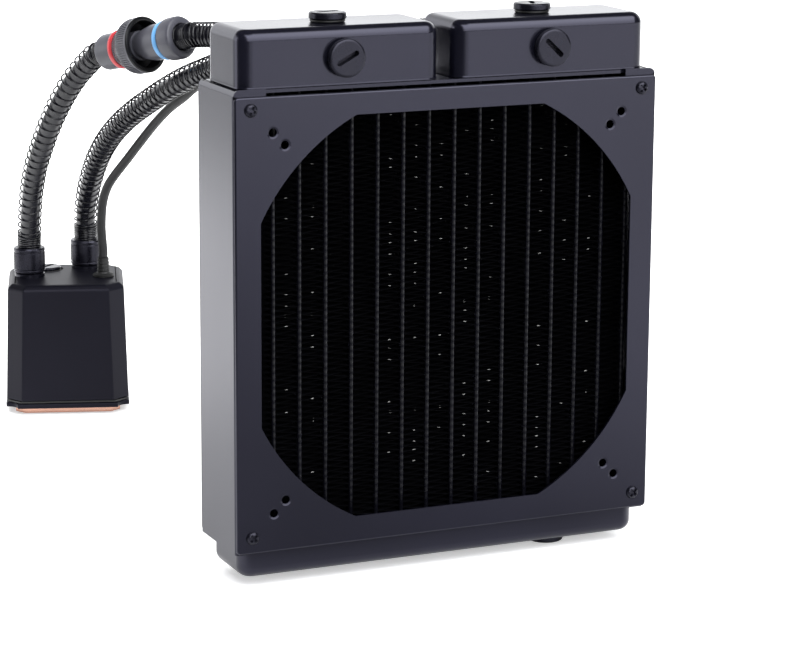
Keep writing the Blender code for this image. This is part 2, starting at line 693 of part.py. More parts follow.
def pump_shell():
    """The moulded housing: four tapering walls with cut corners, and a sunk roof with its holes."""
    margin = COVER_MARGIN
    sunk = COVER_THICK + GAP
    top_corner = SHELL_CORNER * SHELL_TOP_HALF / SHELL_HALF
    floor = octagon(SHELL_TOP_HALF - margin, top_corner - margin / 2)
    inside_low = octagon(SHELL_HALF - SHELL_WALL, SHELL_CORNER - SHELL_WALL / 2)
    inside_top = octagon(SHELL_TOP_HALF - SHELL_WALL, top_corner - SHELL_WALL / 2)
    roof = SHELL_TOP - sunk - SHELL_WALL
    loops = [(floor, SHELL_TOP - sunk), (floor, SHELL_TOP),
             (octagon(SHELL_TOP_HALF - SHELL_CHAMFER, top_corner - SHELL_CHAMFER / 2), SHELL_TOP),
             (octagon(SHELL_TOP_HALF, top_corner), SHELL_TOP - SHELL_CHAMFER),
             (octagon(SHELL_HALF, SHELL_CORNER), SHELL_LOW), (inside_low, SHELL_LOW), (inside_top, roof)]
    shell = place("pump_shell", skin(loops), PUMP_PLASTIC, parent=pump)
    drill = bmesh.new()
    for x, y in (INLET, OUTLET, FILLER):
        bore = circle(BORE_RADIUS, SIDES, x, y)
        skin([(bore, roof - GAP), (bore, SHELL_TOP)], bm=drill)
    cable_hole = circle(CABLE_RADIUS + GAP, SIDES, *GLAND)
    skin([(cable_hole, roof - GAP), (cable_hole, SHELL_TOP)], bm=drill)
    cut(shell, place("shell_holes", drill, PUMP_PLASTIC, parent=pump))
    edge = octagon(SHELL_TOP_HALF - margin - GAP, top_corner - margin / 2)
    holes = [circle(COLLAR_RADIUS + GAP, SIDES, *p) for p in (INLET, OUTLET)]
    holes += [circle(HEAD_RADIUS + GAP, SIDES, *FILLER), circle(BOOT_FOOT + GAP, SIDES, *GLAND)]
    cover = slab([edge, *holes], SHELL_TOP - COVER_THICK, SHELL_TOP)
    place("top_cover", cover, PUMP_PLASTIC, parent=pump)


pump_shell()
ROOF_TOP = SHELL_TOP - COVER_THICK - GAP
plug(Port("filler", (*FILLER, ROOF_TOP), UP), pump)
fitting("fitting_inlet", (*INLET, ROOF_TOP), UP, pump)
fitting("fitting_outlet", (*OUTLET, ROOF_TOP), UP, pump)


def cable_gland():
    """The moulded boot that the pump's cable comes out of."""
    foot = BOOT_FOOT
    profile = [(0, BOOT_HEIGHT), (BOOT_RADIUS - 0.4 * mm, BOOT_HEIGHT), (BOOT_RADIUS, BOOT_HEIGHT - 0.4 * mm),
               (BOOT_RADIUS, 3.4 * mm), (foot, 2.6 * mm), (foot, GAP), (CABLE_RADIUS, GAP),
               (CABLE_RADIUS, -SHELL_WALL), (0, -SHELL_WALL)]
    place("cable_gland", turned(profile, SIDES), RUBBER, (*GLAND, ROOF_TOP), UP, pump)


cable_gland()


def pump_inside():
    """The chamber, the can over it, the rotor on its shaft, the coils outside the can and the board."""
    low = SHELL_LOW
    floor = low + CHAMBER_FLOOR
    chamber_top = floor + CHAMBER_DEEP
    block = slab([octagon(CHAMBER_HALF, CHAMBER_CORNER)], low, chamber_top)
    body = place("pump_chamber", block, PUMP_PLASTIC, parent=pump)
    past = chamber_top + GAP
    hollow = turned([(0, floor), (CHAMBER_BORE, floor), (CHAMBER_BORE, past), (0, past)], MANY_SIDES)
    cut(body, place("chamber_hollow", hollow, PUMP_PLASTIC, parent=pump))
    jet_at, jet_radius = JET
    jet = circle(jet_radius, SIDES, jet_at, 0)
    jet_hole = skin([(jet, low - GAP), (jet, floor + GAP)])
    cut(body, place("jet_hole", jet_hole, PUMP_PLASTIC, parent=pump))

    flange, flange_thick = CAN_FLANGE
    lid_low = chamber_top + GAP
    lid_top = lid_low + flange_thick
    outer = CAN_RADIUS + CAN_WALL
    can_top = lid_low + CAN_HEIGHT
    ceiling = can_top - CAN_WALL
    lid = turned([(0, can_top), (outer, can_top), (outer, lid_top), (flange, lid_top), (flange, lid_low),
                  (CAN_RADIUS, lid_low), (CAN_RADIUS, ceiling), (0, ceiling)], MANY_SIDES)
    place("rotor_can", lid, PUMP_PLASTIC, parent=pump)

    foot, tip = floor + GAP, ceiling - GAP
    pin = turned([(0, foot), (SHAFT_RADIUS, foot), (SHAFT_RADIUS, tip), (0, tip)], SIDES)
    place("rotor_shaft", pin, STEEL, parent=pump)

    bore = SHAFT_RADIUS + 2 * GAP
    magnet = CAN_RADIUS - MAGNET_CLEAR
    disc_low = floor + IMPELLER_UP
    disc_top = disc_low + IMPELLER_DISC
    magnet_top = ceiling - MAGNET_DOWN
    wheel = turned([(bore, disc_low), (IMPELLER_RADIUS, disc_low), (IMPELLER_RADIUS, disc_top),
                    (magnet, disc_top), (magnet, magnet_top), (bore, magnet_top)], MANY_SIDES, True)
    rotor = place("rotor", wheel, BLACK_METAL, parent=pump)
    blades = bmesh.new()
    for i in range(BLADES):
        blade = box((4 * mm, -BLADE_THICK / 2, disc_low - BLADE_DEEP),
                    (IMPELLER_RADIUS - GAP, BLADE_THICK / 2, disc_low + GAP))
        for v in blade.verts:
            curl = v.co.x / IMPELLER_RADIUS * BLADE_CURL
            v.co = Matrix.Rotation(curl + math.tau * i / BLADES, 3, "Z") @ v.co
        joined(blades, blade)
    cut(rotor, place("rotor_blades", blades, BLACK_METAL, parent=pump), "UNION")

    yoke = STATOR_RADIUS - STATOR_WALL
    stator_low, stator_top = lid_top + GAP, can_top - STATOR_DOWN
    ring_low, ring_top = stator_low + TOOTH_PAST, stator_top - TOOTH_PAST
    core = turned([(yoke, ring_low), (STATOR_RADIUS, ring_low), (STATOR_RADIUS, ring_top),
                   (yoke, ring_top)], MANY_SIDES, True)
    stator = place("stator", core, STEEL, parent=pump)
    wound = bmesh.new()
    for i in range(TEETH):
        tooth = box((outer + GAP, -TOOTH_HALF, stator_low), (yoke + 1 * mm, TOOTH_HALF, stator_top))
        turn = Matrix.Rotation(math.tau * i / TEETH, 3, "Z")
        bmesh.ops.rotate(tooth, verts=tooth.verts, cent=(0, 0, 0), matrix=turn)
        joined(wound, tooth)
    cut(stator, place("wound_teeth", wound, STEEL, parent=pump), "UNION")
    board_low = can_top + GAP
    board = slab([octagon(BOARD_HALF, CHAMBER_CORNER)], board_low, board_low + BOARD_THICK)
    place("circuit_board", board, BOARD, parent=pump)


pump_inside()


# Quick coupling

coupling = bpy.data.objects.new("coupling_place", None)
bpy.context.collection.objects.link(coupling)
coupling.matrix_world = Matrix.Translation(COUPLING_START) @ turn_to(COUPLING_WAY)


def ring_profile(groove, proud, start):
    """The section of a coloured ring in its groove."""
    low, high = start + GAP, start + RING_WIDE - GAP
    return [(groove + GAP, low), (proud, low), (proud, high), (groove + GAP, high)]


def quick_coupling():
    """The socket on the pump's side, its swivel sleeve, and the insert on the radiator's side."""
    hose_bore = HOSE_RADIUS + GAP
    ring_end = RING_AT + RING_WIDE
    groove = SOCKET_RADIUS - RING_GROOVE
    step = ring_end + 1 * mm
    edge = 0.6 * mm
    inner = NOSE_RADIUS + GAP
    socket = turned([(0, HOSE_HELD), (hose_bore, HOSE_HELD), (hose_bore, 0), (SOCKET_RADIUS - edge, 0),
                     (SOCKET_RADIUS, edge), (SOCKET_RADIUS, RING_AT), (groove, RING_AT), (groove, ring_end),
                     (SOCKET_RADIUS, ring_end), (SOCKET_RADIUS, step), (NECK_RADIUS, step),
                     (NECK_RADIUS, SOCKET_END), (inner, SOCKET_END), (inner, NOSE_AT - GAP),
                     (0, NOSE_AT - GAP)], SIDES)
    place("coupling_socket", socket, GREY_PLASTIC, parent=coupling)
    red = ring_profile(groove, SOCKET_RADIUS + RING_PROUD, RING_AT)
    place("coupling_red_ring", turned(red, SIDES, True), RED_PLASTIC, parent=coupling)

    start = step + GAP
    shoulder = start + SLEEVE_CONE
    inside = SLEEVE_RADIUS - SLEEVE_WALL
    neck = NECK_RADIUS + GAP
    sleeve = [(neck, start), (SOCKET_RADIUS + 0.6 * mm, start), (SLEEVE_RADIUS - 1.4 * mm, shoulder - 3 * mm),
              (SLEEVE_RADIUS, shoulder), (SLEEVE_RADIUS, SLEEVE_MOUTH - 0.5 * mm),
              (SLEEVE_RADIUS - 0.5 * mm, SLEEVE_MOUTH), (inside, SLEEVE_MOUTH), (inside, shoulder),
              (neck, start + 3 * mm)]
    place("coupling_sleeve", turned(sleeve, MANY_SIDES, True), GREY_PLASTIC, parent=coupling)

    low = SOCKET_END + GAP
    blue_end = INSERT_RING_AT + RING_WIDE
    deep = COUPLING_LENGTH - HOSE_HELD
    slope = 1.5 * mm
    insert_groove = INSERT_RADIUS - RING_GROOVE
    insert = turned([(0, NOSE_AT), (NOSE_RADIUS, NOSE_AT), (NOSE_RADIUS, low), (INSERT_RADIUS - 1 * mm, low),
                     (INSERT_RADIUS, low + 3 * mm), (INSERT_RADIUS, INSERT_RING_AT),
                     (insert_groove, INSERT_RING_AT), (insert_groove, blue_end), (INSERT_RADIUS, blue_end),
                     (FLANGE_RADIUS, blue_end + 2 * mm), (FLANGE_RADIUS, COUPLING_LENGTH - slope),
                     (FLANGE_RADIUS - slope, COUPLING_LENGTH), (hose_bore, COUPLING_LENGTH),
                     (hose_bore, deep), (0, deep)], SIDES)
    place("coupling_insert", insert, GREY_PLASTIC, parent=coupling)
    blue = ring_profile(insert_groove, INSERT_RADIUS + RING_PROUD, INSERT_RING_AT)
    place("coupling_blue_ring", turned(blue, SIDES, True), BLUE_PLASTIC, parent=coupling)


quick_coupling()


# Hoses and cable

def along(distance):
    """A point on the coupling's axis."""
    return COUPLING_START + COUPLING_WAY * distance


def on_pump(spot, height):
    """A point above the pump's roof, from its place on the roof."""
    x, y = spot
    c, s = math.cos(PUMP_TURN), math.sin(PUMP_TURN)
    return Vector((PUMP_X + x * c + y * s, PUMP_Y - x * s + y * c, height))


def smooth(points, spacing):
    """A straight first and last stretch, and between them points at even distances on a smooth curve."""
    points = [Vector(p) for p in points]
    fine = []
    for a, b, c, d in zip(points, points[1:], points[2:], points[3:]):
        for i in range(24):
            t = i / 24
            fine.append(0.5 * (2 * b + (c - a) * t + (2 * a - 5 * b + 4 * c - d) * t * t
                               + (3 * b - a - 3 * c + d) * t ** 3))
    fine.append(points[-2])
    run = [0.0]
    for a, b in zip(fine, fine[1:]):
        run.append(run[-1] + (b - a).length)
    count = round(run[-1] / spacing)
    even, k = [points[0]], 0
    for i in range(count + 1):
        goal = run[-1] * i / count
        while k < len(run) - 2 and run[k + 1] < goal:
            k += 1
        share = (goal - run[k]) / (run[k + 1] - run[k])
        even.append(fine[k].lerp(fine[k + 1], min(1.0, share)))
    even.append(points[-1])
    return even


def tube(name, points, radius, look, spacing, sides=2):
    """A plain cord solid on a smooth route."""
    curve = bpy.data.curves.new(name, "CURVE")
    curve.dimensions = "3D"
    curve.bevel_depth = radius
    curve.bevel_resolution = sides
    curve.use_fill_caps = True
    line = smooth(points, spacing)
    spline = curve.splines.new("POLY")
    spline.points.add(len(line) - 1)
    for point, co in zip(spline.points, line):
        point.co = (*co, 1)
    curve.materials.append(look)
    made = bpy.data.objects.new(name, curve)
    bpy.context.collection.objects.link(made)
    return made


inlet_end = on_pump(INLET, ROOF_TOP + HOSE_SEAT)
outlet_end = on_pump(OUTLET, ROOF_TOP + HOSE_SEAT)
left_end = LEFT_PORTS[2].at + BACK * HOSE_SEAT
right_end = RIGHT_PORTS[2].at + BACK * HOSE_SEAT

# Route points in millimetres, chosen by eye along the real cords
HOSE_PUMP_ROUTE = [(-81.6, 163.4, 104), (-83.0, 154.5, 120), (-83.8, 143.0, 136), (-83.2, 130.5, 151),
                   (-81.6, 118.5, 165.5), (-78.9, 106.5, 179), (-75.4, 95.5, 190.5), (-71.6, 84.5, 199.5)]
HOSE_RADIATOR_ROUTE = [(-37.2, 12.6, 219.6), (-25.5, -4.0, 220.9), (-9.0, -25.0, 222.3), (8.5, -49.0, 224.4),
                       (25.5, -76.0, 227.3), (39.5, -104.0, 231.0)]
HOSE_RETURN_ROUTE = [(-45.6, 175.5, 104), (-46.6, 166.5, 117.5), (-47.6, 153.0, 131.5), (-48.3, 137.0, 144.0),
                     (-48.4, 119.5, 155.0), (-47.8, 101.5, 164.5), (-46.8, 84.5, 172.3), (-45.6, 68.5, 179.0),
                     (-43.8, 53.0, 185.6), (-41.3, 38.5, 191.8), (-38.2, 24.5, 197.3), (-35.5, 9.5, 202.2),
                     (-34.6, -8.0, 207.0), (-36.4, -30.0, 212.0), (-40.6, -58.0, 219.0),
                     (-45.8, -88.0, 226.4), (-49.4, -112.0, 231.6)]
CABLE_ROUTE = [(-44.6, 151.6, 98.0), (-44.6, 148.8, 112.0), (-43.4, 143.6, 122.0), (-41.2, 136.2, 130.0),
               (-38.6, 126.2, 138.6), (-36.2, 113.8, 148.6), (-34.4, 101.0, 158.0), (-33.0, 87.4, 166.8),
               (-31.9, 71.2, 175.4), (-31.0, 55.0, 182.4), (-29.6, 39.6, 190.1), (-27.2, 24.0, 196.7),
               (-24.0, 5.0, 204.7), (-21.6, -12.0, 212.1), (-22.6, -27.0, 218.4), (-28.6, -39.0, 225.2),
               (-38.2, -47.6, 229.4), (-49.4, -56.2, 228.2), (-58.6, -66.0, 216.6), (-63.4, -75.4, 196.0),
               (-65.0, -82.5, 165.0), (-66.4, -86.5, 125.0), (-66.4, -89.0, 85.0), (-65.0, -90.6, 50.0),
               (-60.6, -92.0, 24.0), (-51.4, -93.6, 8.4), (-37.6, -95.6, 3.0), (-20.0, -98.0, 2.9),
               (-2.0, -101.0, 2.9), (14.0, -105.2, 2.9)]
CABLE_END = Vector((28.0, -110.4, 2.9)) * mm


def millimetres(points):
    return [Vector(p) * mm for p in points]


hose_in, hose_out = COUPLING_LENGTH - HOSE_HELD, HOSE_HELD
pump_side = [inlet_end, inlet_end + UP * HOSE_STRAIGHT, *millimetres(HOSE_PUMP_ROUTE),
             along(hose_out - HOSE_STRAIGHT), along(hose_out - GAP)]
radiator_side = [along(hose_in + GAP), along(hose_in + HOSE_STRAIGHT), *millimetres(HOSE_RADIATOR_ROUTE),
                 right_end + BACK * HOSE_STRAIGHT, right_end]
return_side = [outlet_end, outlet_end + UP * HOSE_STRAIGHT, *millimetres(HOSE_RETURN_ROUTE),
               left_end + BACK * HOSE_STRAIGHT, left_end]
tube("hose_pump_side", pump_side, HOSE_RADIUS, HOSE, HOSE_STEP)
tube("hose_radiator_side", radiator_side, HOSE_RADIUS, HOSE, HOSE_STEP)
tube("hose_return", return_side, HOSE_RADIUS, HOSE, HOSE_STEP)
cable_start = on_pump(GLAND, ROOF_TOP + BOOT_HEIGHT + GAP)
cable_line = [cable_start, cable_start + UP * 4 * mm, *millimetres(CABLE_ROUTE), CABLE_END]
tube("pump_cable", cable_line, CABLE_RADIUS, SLEEVING, CABLE_STEP)


def cable_plug():
    """The three-way connector on the cable's end, lying on the surface."""
    way = (CABLE_END - Vector(CABLE_ROUTE[-1]) * mm).normalized()
    width, height, length = PLUG_SIZE
    holder = box((-width / 2, -height / 2, GAP), (width / 2, height / 2, length))
    at = CABLE_END.copy()
    at.z = height / 2
    body = place("cable_plug", holder, RUBBER, at, way)
    sockets = bmesh.new()
    for i in (-1, 0, 1):
        x = i * PIN_PITCH
        box((x - PIN_HALF, -PIN_HALF, length - PIN_DEEP), (x + PIN_HALF, PIN_HALF, length + GAP), bm=sockets)
    cut(body, place("cable_plug_sockets", sockets, RUBBER, at, way))


cable_plug()
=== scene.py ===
"""The looks of an all in one liquid cooler for a processor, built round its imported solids.

Metres, +Z up, in the solids' own frame: the radiator's fan face looks along -Y, and the
pump block stands behind it.
"""
import json
import math

import bmesh
import bpy
from mathutils import Matrix, Quaternion, Vector


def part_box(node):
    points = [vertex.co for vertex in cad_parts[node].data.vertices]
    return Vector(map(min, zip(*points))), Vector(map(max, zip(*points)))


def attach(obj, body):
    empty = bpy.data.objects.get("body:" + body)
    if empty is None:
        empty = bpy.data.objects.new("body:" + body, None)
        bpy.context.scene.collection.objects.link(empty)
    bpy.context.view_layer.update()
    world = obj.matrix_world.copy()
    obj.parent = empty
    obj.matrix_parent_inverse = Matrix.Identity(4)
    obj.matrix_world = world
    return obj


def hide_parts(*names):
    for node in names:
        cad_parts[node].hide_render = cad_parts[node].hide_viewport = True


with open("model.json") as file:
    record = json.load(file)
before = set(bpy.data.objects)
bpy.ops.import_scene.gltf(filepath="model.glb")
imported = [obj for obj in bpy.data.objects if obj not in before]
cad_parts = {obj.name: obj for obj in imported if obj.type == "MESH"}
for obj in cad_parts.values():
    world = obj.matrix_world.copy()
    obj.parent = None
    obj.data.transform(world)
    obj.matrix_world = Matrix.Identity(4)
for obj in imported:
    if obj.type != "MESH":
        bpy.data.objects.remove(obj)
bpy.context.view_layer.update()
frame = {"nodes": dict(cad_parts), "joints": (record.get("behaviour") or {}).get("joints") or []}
mm = 0.001


# Camera
# A short telephoto, a little above the tanks and to the left of the fan face, as for a
# catalogue picture of the cooler standing on white paper.

def placed(name, data):
    """A new object of the scene."""
    piece = bpy.data.objects.new(name, data)
    bpy.context.scene.collection.objects.link(piece)
    return piece


camera_data = bpy.data.cameras.new("camera")
camera_data.lens = 131.2
camera_data.sensor_width = 36
camera_data.clip_start = 0.05
camera_data.clip_end = 50
camera = placed("camera", camera_data)
camera_right = Vector((0.91153, -0.41119, 0.00616))
camera_up = Vector((0.0840, 0.2008, 0.9760))
camera_back = camera_right.cross(camera_up)
camera.matrix_world = Matrix.Translation((-0.5431, -1.3471, 0.3958)) @ Matrix(
    (camera_right, camera_up, camera_back)).transposed().to_4x4()
bpy.context.scene.camera = camera


# Side panels
# Two folded channels of steel sheet, painted satin black, whose webs are the sides of the
# radiator's housing. Their edges are slightly rounded by the folding and the paint.

def put_down():
    """Object mode, with nothing selected."""
    if bpy.context.object and bpy.context.object.mode != "OBJECT":
        bpy.ops.object.mode_set(mode="OBJECT")
    bpy.ops.object.select_all(action="DESELECT")


def take(piece):
    """Selects one piece and nothing else."""
    put_down()
    piece.select_set(True)
    bpy.context.view_layer.objects.active = piece


def harden(piece, step):
    """Applies a modifier."""
    take(piece)
    bpy.ops.object.modifier_apply(modifier=step.name)


def soften(piece, width, segments=3, angle=30):
    """Rounds every edge that is sharper than the angle."""
    step = piece.modifiers.new("rounded", "BEVEL")
    step.width = width
    step.segments = segments
    step.limit_method = "ANGLE"
    step.angle_limit = math.radians(angle)
    step.harden_normals = False
    harden(piece, step)


def smooth(piece, angle=40):
    """Smooth shading that leaves large flat faces flat and sharp edges sharp."""
    take(piece)
    bpy.ops.object.shade_smooth_by_angle(angle=math.radians(angle))
    step = piece.modifiers.new("flat", "WEIGHTED_NORMAL")
    step.keep_sharp = True
    step.weight = 50
    harden(piece, step)


def copied(node, name):
    """A copy of a solid's mesh with its loose triangles joined and its flat faces made whole."""
    put_down()
    mesh = frame["nodes"][node].data.copy()
    mesh.name = name
    mesh.materials.clear()
    piece = placed(name, mesh)
    take(piece)
    if mesh.has_custom_normals:
        bpy.ops.mesh.customdata_custom_splitnormals_clear()
    bpy.ops.object.mode_set(mode="EDIT")
    bpy.ops.mesh.select_all(action="SELECT")
    bpy.ops.mesh.remove_doubles(threshold=1e-6)
    bpy.ops.mesh.dissolve_limited(angle_limit=math.radians(1))
    bpy.ops.object.mode_set(mode="OBJECT")
    return piece


def fit(piece, material, body, slot, *nodes):
    """Gives a finished piece its material and its place on a body, in the stead of its solids."""
    piece.data.materials.clear()
    piece.data.materials.append(material)
    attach(piece, body)
    if nodes:
        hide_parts(*nodes)
    return piece


def finish(name, colour, rough, metal=0.0, grain=900, relief=0.04, patch=40, spread=0.06, tone=0.25,
           tint=(1, 1, 1), level=0.5):
    """A material with a fine relief, and with cloudy changes of tone and gloss as paint has."""
    made = bpy.data.materials.new(name)
    made.use_nodes = True
    nodes, links = made.node_tree.nodes, made.node_tree.links
    shader = nodes["Principled BSDF"]
    shader.inputs["Metallic"].default_value = metal
    shader.inputs["Specular Tint"].default_value = (*tint, 1)
    shader.inputs["Specular IOR Level"].default_value = level
    place = nodes.new("ShaderNodeTexCoord")
    clouds = nodes.new("ShaderNodeTexNoise")
    clouds.inputs["Scale"].default_value = patch
    clouds.inputs["Detail"].default_value = 4
    links.new(place.outputs["Object"], clouds.inputs["Vector"])
    tones = nodes.new("ShaderNodeValToRGB")
    tones.color_ramp.elements[0].position = 0.3
    tones.color_ramp.elements[1].position = 0.7
    tones.color_ramp.elements[0].color = (*[c * (1 - tone) for c in colour], 1)
    tones.color_ramp.elements[1].color = (*[min(1, c * (1 + tone)) for c in colour], 1)
    links.new(clouds.outputs["Fac"], tones.inputs["Fac"])
    links.new(tones.outputs["Color"], shader.inputs["Base Color"])
    gloss = nodes.new("ShaderNodeMapRange")
    gloss.inputs["From Min"].default_value = 0.3
    gloss.inputs["From Max"].default_value = 0.7
    gloss.inputs["To Min"].default_value = rough - spread
    gloss.inputs["To Max"].default_value = rough + spread
    links.new(clouds.outputs["Fac"], gloss.inputs["Value"])
    links.new(gloss.outputs["Result"], shader.inputs["Roughness"])
    grains = nodes.new("ShaderNodeTexNoise")
    grains.inputs["Scale"].default_value = grain
    grains.inputs["Detail"].default_value = 3
    links.new(place.outputs["Object"], grains.inputs["Vector"])
    bump = nodes.new("ShaderNodeBump")
    bump.inputs["Strength"].default_value = relief
    bump.inputs["Distance"].default_value = 0.2 * mm
    links.new(grains.outputs["Fac"], bump.inputs["Height"])
    links.new(bump.outputs["Normal"], shader.inputs["Normal"])
    return made


def block(name, low, high):
    """A plain block between two corners."""
    low, high = Vector(low), Vector(high)
    put_down()
    bpy.ops.mesh.primitive_cube_add(size=1, location=(low + high) / 2)
    piece = bpy.context.object
    piece.name = name
    piece.scale = high - low
    bpy.ops.object.transform_apply()
    return piece


def discard(piece):
    """Throws a tool or a pattern piece away."""
    bpy.data.objects.remove(piece, do_unlink=True)


def carve(piece, tool, operation="DIFFERENCE"):
    """Cuts, joins or crops a piece with a tool, which is then thrown away."""
    step = piece.modifiers.new("carved", "BOOLEAN")
    step.operation = operation
    step.solver = "EXACT"
    step.object = tool
    harden(piece, step)
    discard(tool)


def edit(piece, kind):
    """Edit mode for vertices, edges or faces, with none selected."""
    take(piece)
    bpy.ops.object.mode_set(mode="EDIT")
    bpy.ops.mesh.select_mode(type=kind)
    bpy.ops.mesh.select_all(action="DESELECT")
    return bmesh.from_edit_mesh(piece.data)


def select_edges(piece, test):
    """In edit mode, selects the edges whose two ends pass a test."""
    bm = edit(piece, "EDGE")
    for edge in bm.edges:
        edge.select_set(test(*[v.co for v in edge.verts]))
    bmesh.update_edit_mesh(piece.data)


def round_off(piece, test, width, segments=1):
    """Bevels the edges whose two ends pass a test."""
    select_edges(piece, test)
    bpy.ops.mesh.bevel(offset=width, segments=segments, affect="EDGES")
    put_down()


def rod(name, radius, start, end, sides=48):
    """A plain round bar between two points."""
    start, end = Vector(start), Vector(end)
    put_down()
    turn = (end - start).to_track_quat("Z", "Y").to_euler()
    bpy.ops.mesh.primitive_cylinder_add(vertices=sides, radius=radius, depth=(end - start).length,
                                        location=(start + end) / 2, rotation=turn)
    piece = bpy.context.object
    piece.name = name
    bpy.ops.object.transform_apply()
    return piece


sheet = 1.2 * mm
bend = 1.8 * mm
lip_width = 15 * mm  # the front lips are wider at their upper end, which stands above the plate
lip_drop = 10 * mm
fold = 3.0 * mm  # the radius of the outer corner at the top
ledge_width, ledge_drop = 3.2 * mm, 2.6 * mm  # folded inwards beside the tank
close = 0.05 * mm
black_paint = finish("satin_black_paint", (0.0045, 0.0045, 0.0085), 0.21, grain=1400, relief=0.03, patch=9,
                     spread=0.03, tint=(0.78, 0.77, 1), level=0.55)
for side in ("left", "right"):
    low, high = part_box("side_panel_" + side)
    panel = copied("side_panel_" + side, "panel_" + side)
    outer, inward = (low.x, 1) if side == "left" else (high.x, -1)
    near, far = sorted((outer + inward * sheet / 2, outer + inward * lip_width))
    carve(panel, block("lip", (near, low.y, high.z - lip_drop), (far, low.y + sheet, high.z)), "UNION")
    near, far = sorted((outer + inward * sheet / 2, outer + inward * ledge_width))
    ledge_top = high.z - ledge_drop
    ledge = block("ledge", (near, low.y + sheet / 2, ledge_top - sheet), (far, high.y, ledge_top))
    carve(panel, ledge, "UNION")
    x, z = outer + inward * fold, high.z - fold
    corner = block("corner", (outer - fold, low.y - mm, z), (outer + fold, high.y + mm, high.z + fold))
    carve(corner, rod("round", fold, (x, low.y - 2 * mm, z), (x, high.y + 2 * mm, z), 64))
    carve(panel, corner)
    at_bend = lambda *ends: all(max(abs(end.x - outer), abs(end.y - low.y)) < close for end in ends)
    round_off(panel, at_bend, bend, 4)
    soften(panel, 0.3 * mm, 2, 50)
    smooth(panel)
    fit(panel, black_paint, "cooler", "black_steel", "side_panel_" + side)


# Fan plates
# Steel sheet pressed to shape: the round opening is cut off flat on four sides, and each
# corner has two fan holes that are sunk like a dimple. The opening's edge, turned in a little
# on the plate, is here only slightly rounded.

def turned(name, profile, sides=64, ring=False):
    """A turned body about +Z: a circle drawn out and widened along a (radius, height) profile."""
    put_down()
    radius, height = profile[0]
    bpy.ops.mesh.primitive_circle_add(vertices=sides, radius=radius, location=(0, 0, height))
    piece = bpy.context.object
    piece.name = name
    bpy.ops.object.transform_apply()
    bpy.ops.object.mode_set(mode="EDIT")
    bpy.ops.mesh.select_all(action="SELECT")
    steps = [*profile, profile[0]] if ring else profile
    for (r0, z0), (r1, z1) in zip(steps, steps[1:]):
        bpy.ops.mesh.extrude_edges_move(TRANSFORM_OT_translate={"value": (0, 0, z1 - z0)})
        bpy.ops.transform.resize(value=(r1 / r0, r1 / r0, 1), center_override=(0, 0, z1))
    bpy.ops.mesh.select_all(action="SELECT")
    if ring:
        bpy.ops.mesh.remove_doubles(threshold=1e-6)
    else:
        bpy.ops.mesh.fill_holes(sides=0)
    bpy.ops.mesh.select_all(action="SELECT")
    bpy.ops.mesh.normals_make_consistent(inside=False)
    bpy.ops.object.mode_set(mode="OBJECT")
    return piece


def turn_to(way):
    """The turn that takes +Z to way and keeps +X level, as for the solids."""
    z = Vector(way).normalized()
    x = Vector((1, 0, 0)) if abs(z.z) > 0.999 else Vector((-z.y, z.x, 0)).normalized()
    return Matrix((x, z.cross(x), z)).transposed().to_4x4()


def move_to(piece, at, way=(0, 0, 1), turn=0.0):
    """Puts a piece that was made about +Z where it belongs, and applies its place."""
    take(piece)
    piece.matrix_world = Matrix.Translation(at) @ turn_to(way) @ Matrix.Rotation(turn, 4, "Z")
    bpy.ops.object.transform_apply()


plate_low, plate_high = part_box("front_plate")
back_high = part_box("back_plate")[1]
holes_up = (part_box("front_screw_1")[0].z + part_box("front_screw_3")[1].z) / 2
opening_radius = 101 * mm
opening_half = 90.2 * mm
fan_holes = (78.9 * mm, 84.5 * mm)
fan_hole_radius, dimple_radius, dimple_depth = 1.9 * mm, 2.75 * mm, 0.26 * mm
plate_corner, plate_edge = 1.8 * mm, 1.0 * mm
plate_screws = 94.6 * mm
corners = [(-1, -1), (1, -1), (1, 1), (-1, 1)]

for name, face, inward in (("front_plate", plate_low.y, 1), ("back_plate", back_high.y, -1)):
    near, far = sorted((face, face + inward * sheet))
    plate = block("fan_" + name, (plate_low.x, near, plate_low.z), (plate_high.x, far, plate_high.z))
    round_off(plate, lambda a, b: max(abs(a.x - b.x), abs(a.z - b.z)) < close, plate_corner, 8)
    round_off(plate, lambda a, b: max(abs(a.y - face), abs(b.y - face)) < close, plate_edge, 4)
    opening = rod("opening", opening_radius, (0, near - sheet, holes_up), (0, far + sheet, holes_up), 160)
    square = block("square", (-opening_half, near - 2 * sheet, holes_up - opening_half),
                   (opening_half, far + 2 * sheet, holes_up + opening_half))
    carve(opening, square, "INTERSECT")
    carve(plate, opening)
    for sx, sz in corners:
        for spot in fan_holes:
            hole = turned("hole", [(dimple_radius, 0.1 * mm), (dimple_radius, 0),
                                   (fan_hole_radius, -dimple_depth), (fan_hole_radius, -2 * sheet)], 40)
            move_to(hole, (sx * spot, face, holes_up + sz * spot), (0, -inward, 0))
            carve(plate, hole)
    soften(plate, 0.3 * mm, 3, 50)
    smooth(plate, 14)
    fit(plate, black_paint, "cooler", "black_steel", name)


# Plate screws
# Pan head screws with a cross recess, black plated. Four hold each plate to the lips of
# the side panels.

black_plating = finish("black_plating", (0.005, 0.005, 0.008), 0.27, grain=2500, relief=0.05, patch=120,
                       tint=(0.8, 0.79, 1), level=0.42)


def twin(piece, name):
    """A copy of a piece, with its own mesh."""
    made = piece.copy()
    made.data = piece.data.copy()
    made.name = name
    bpy.context.scene.collection.objects.link(made)
    return made


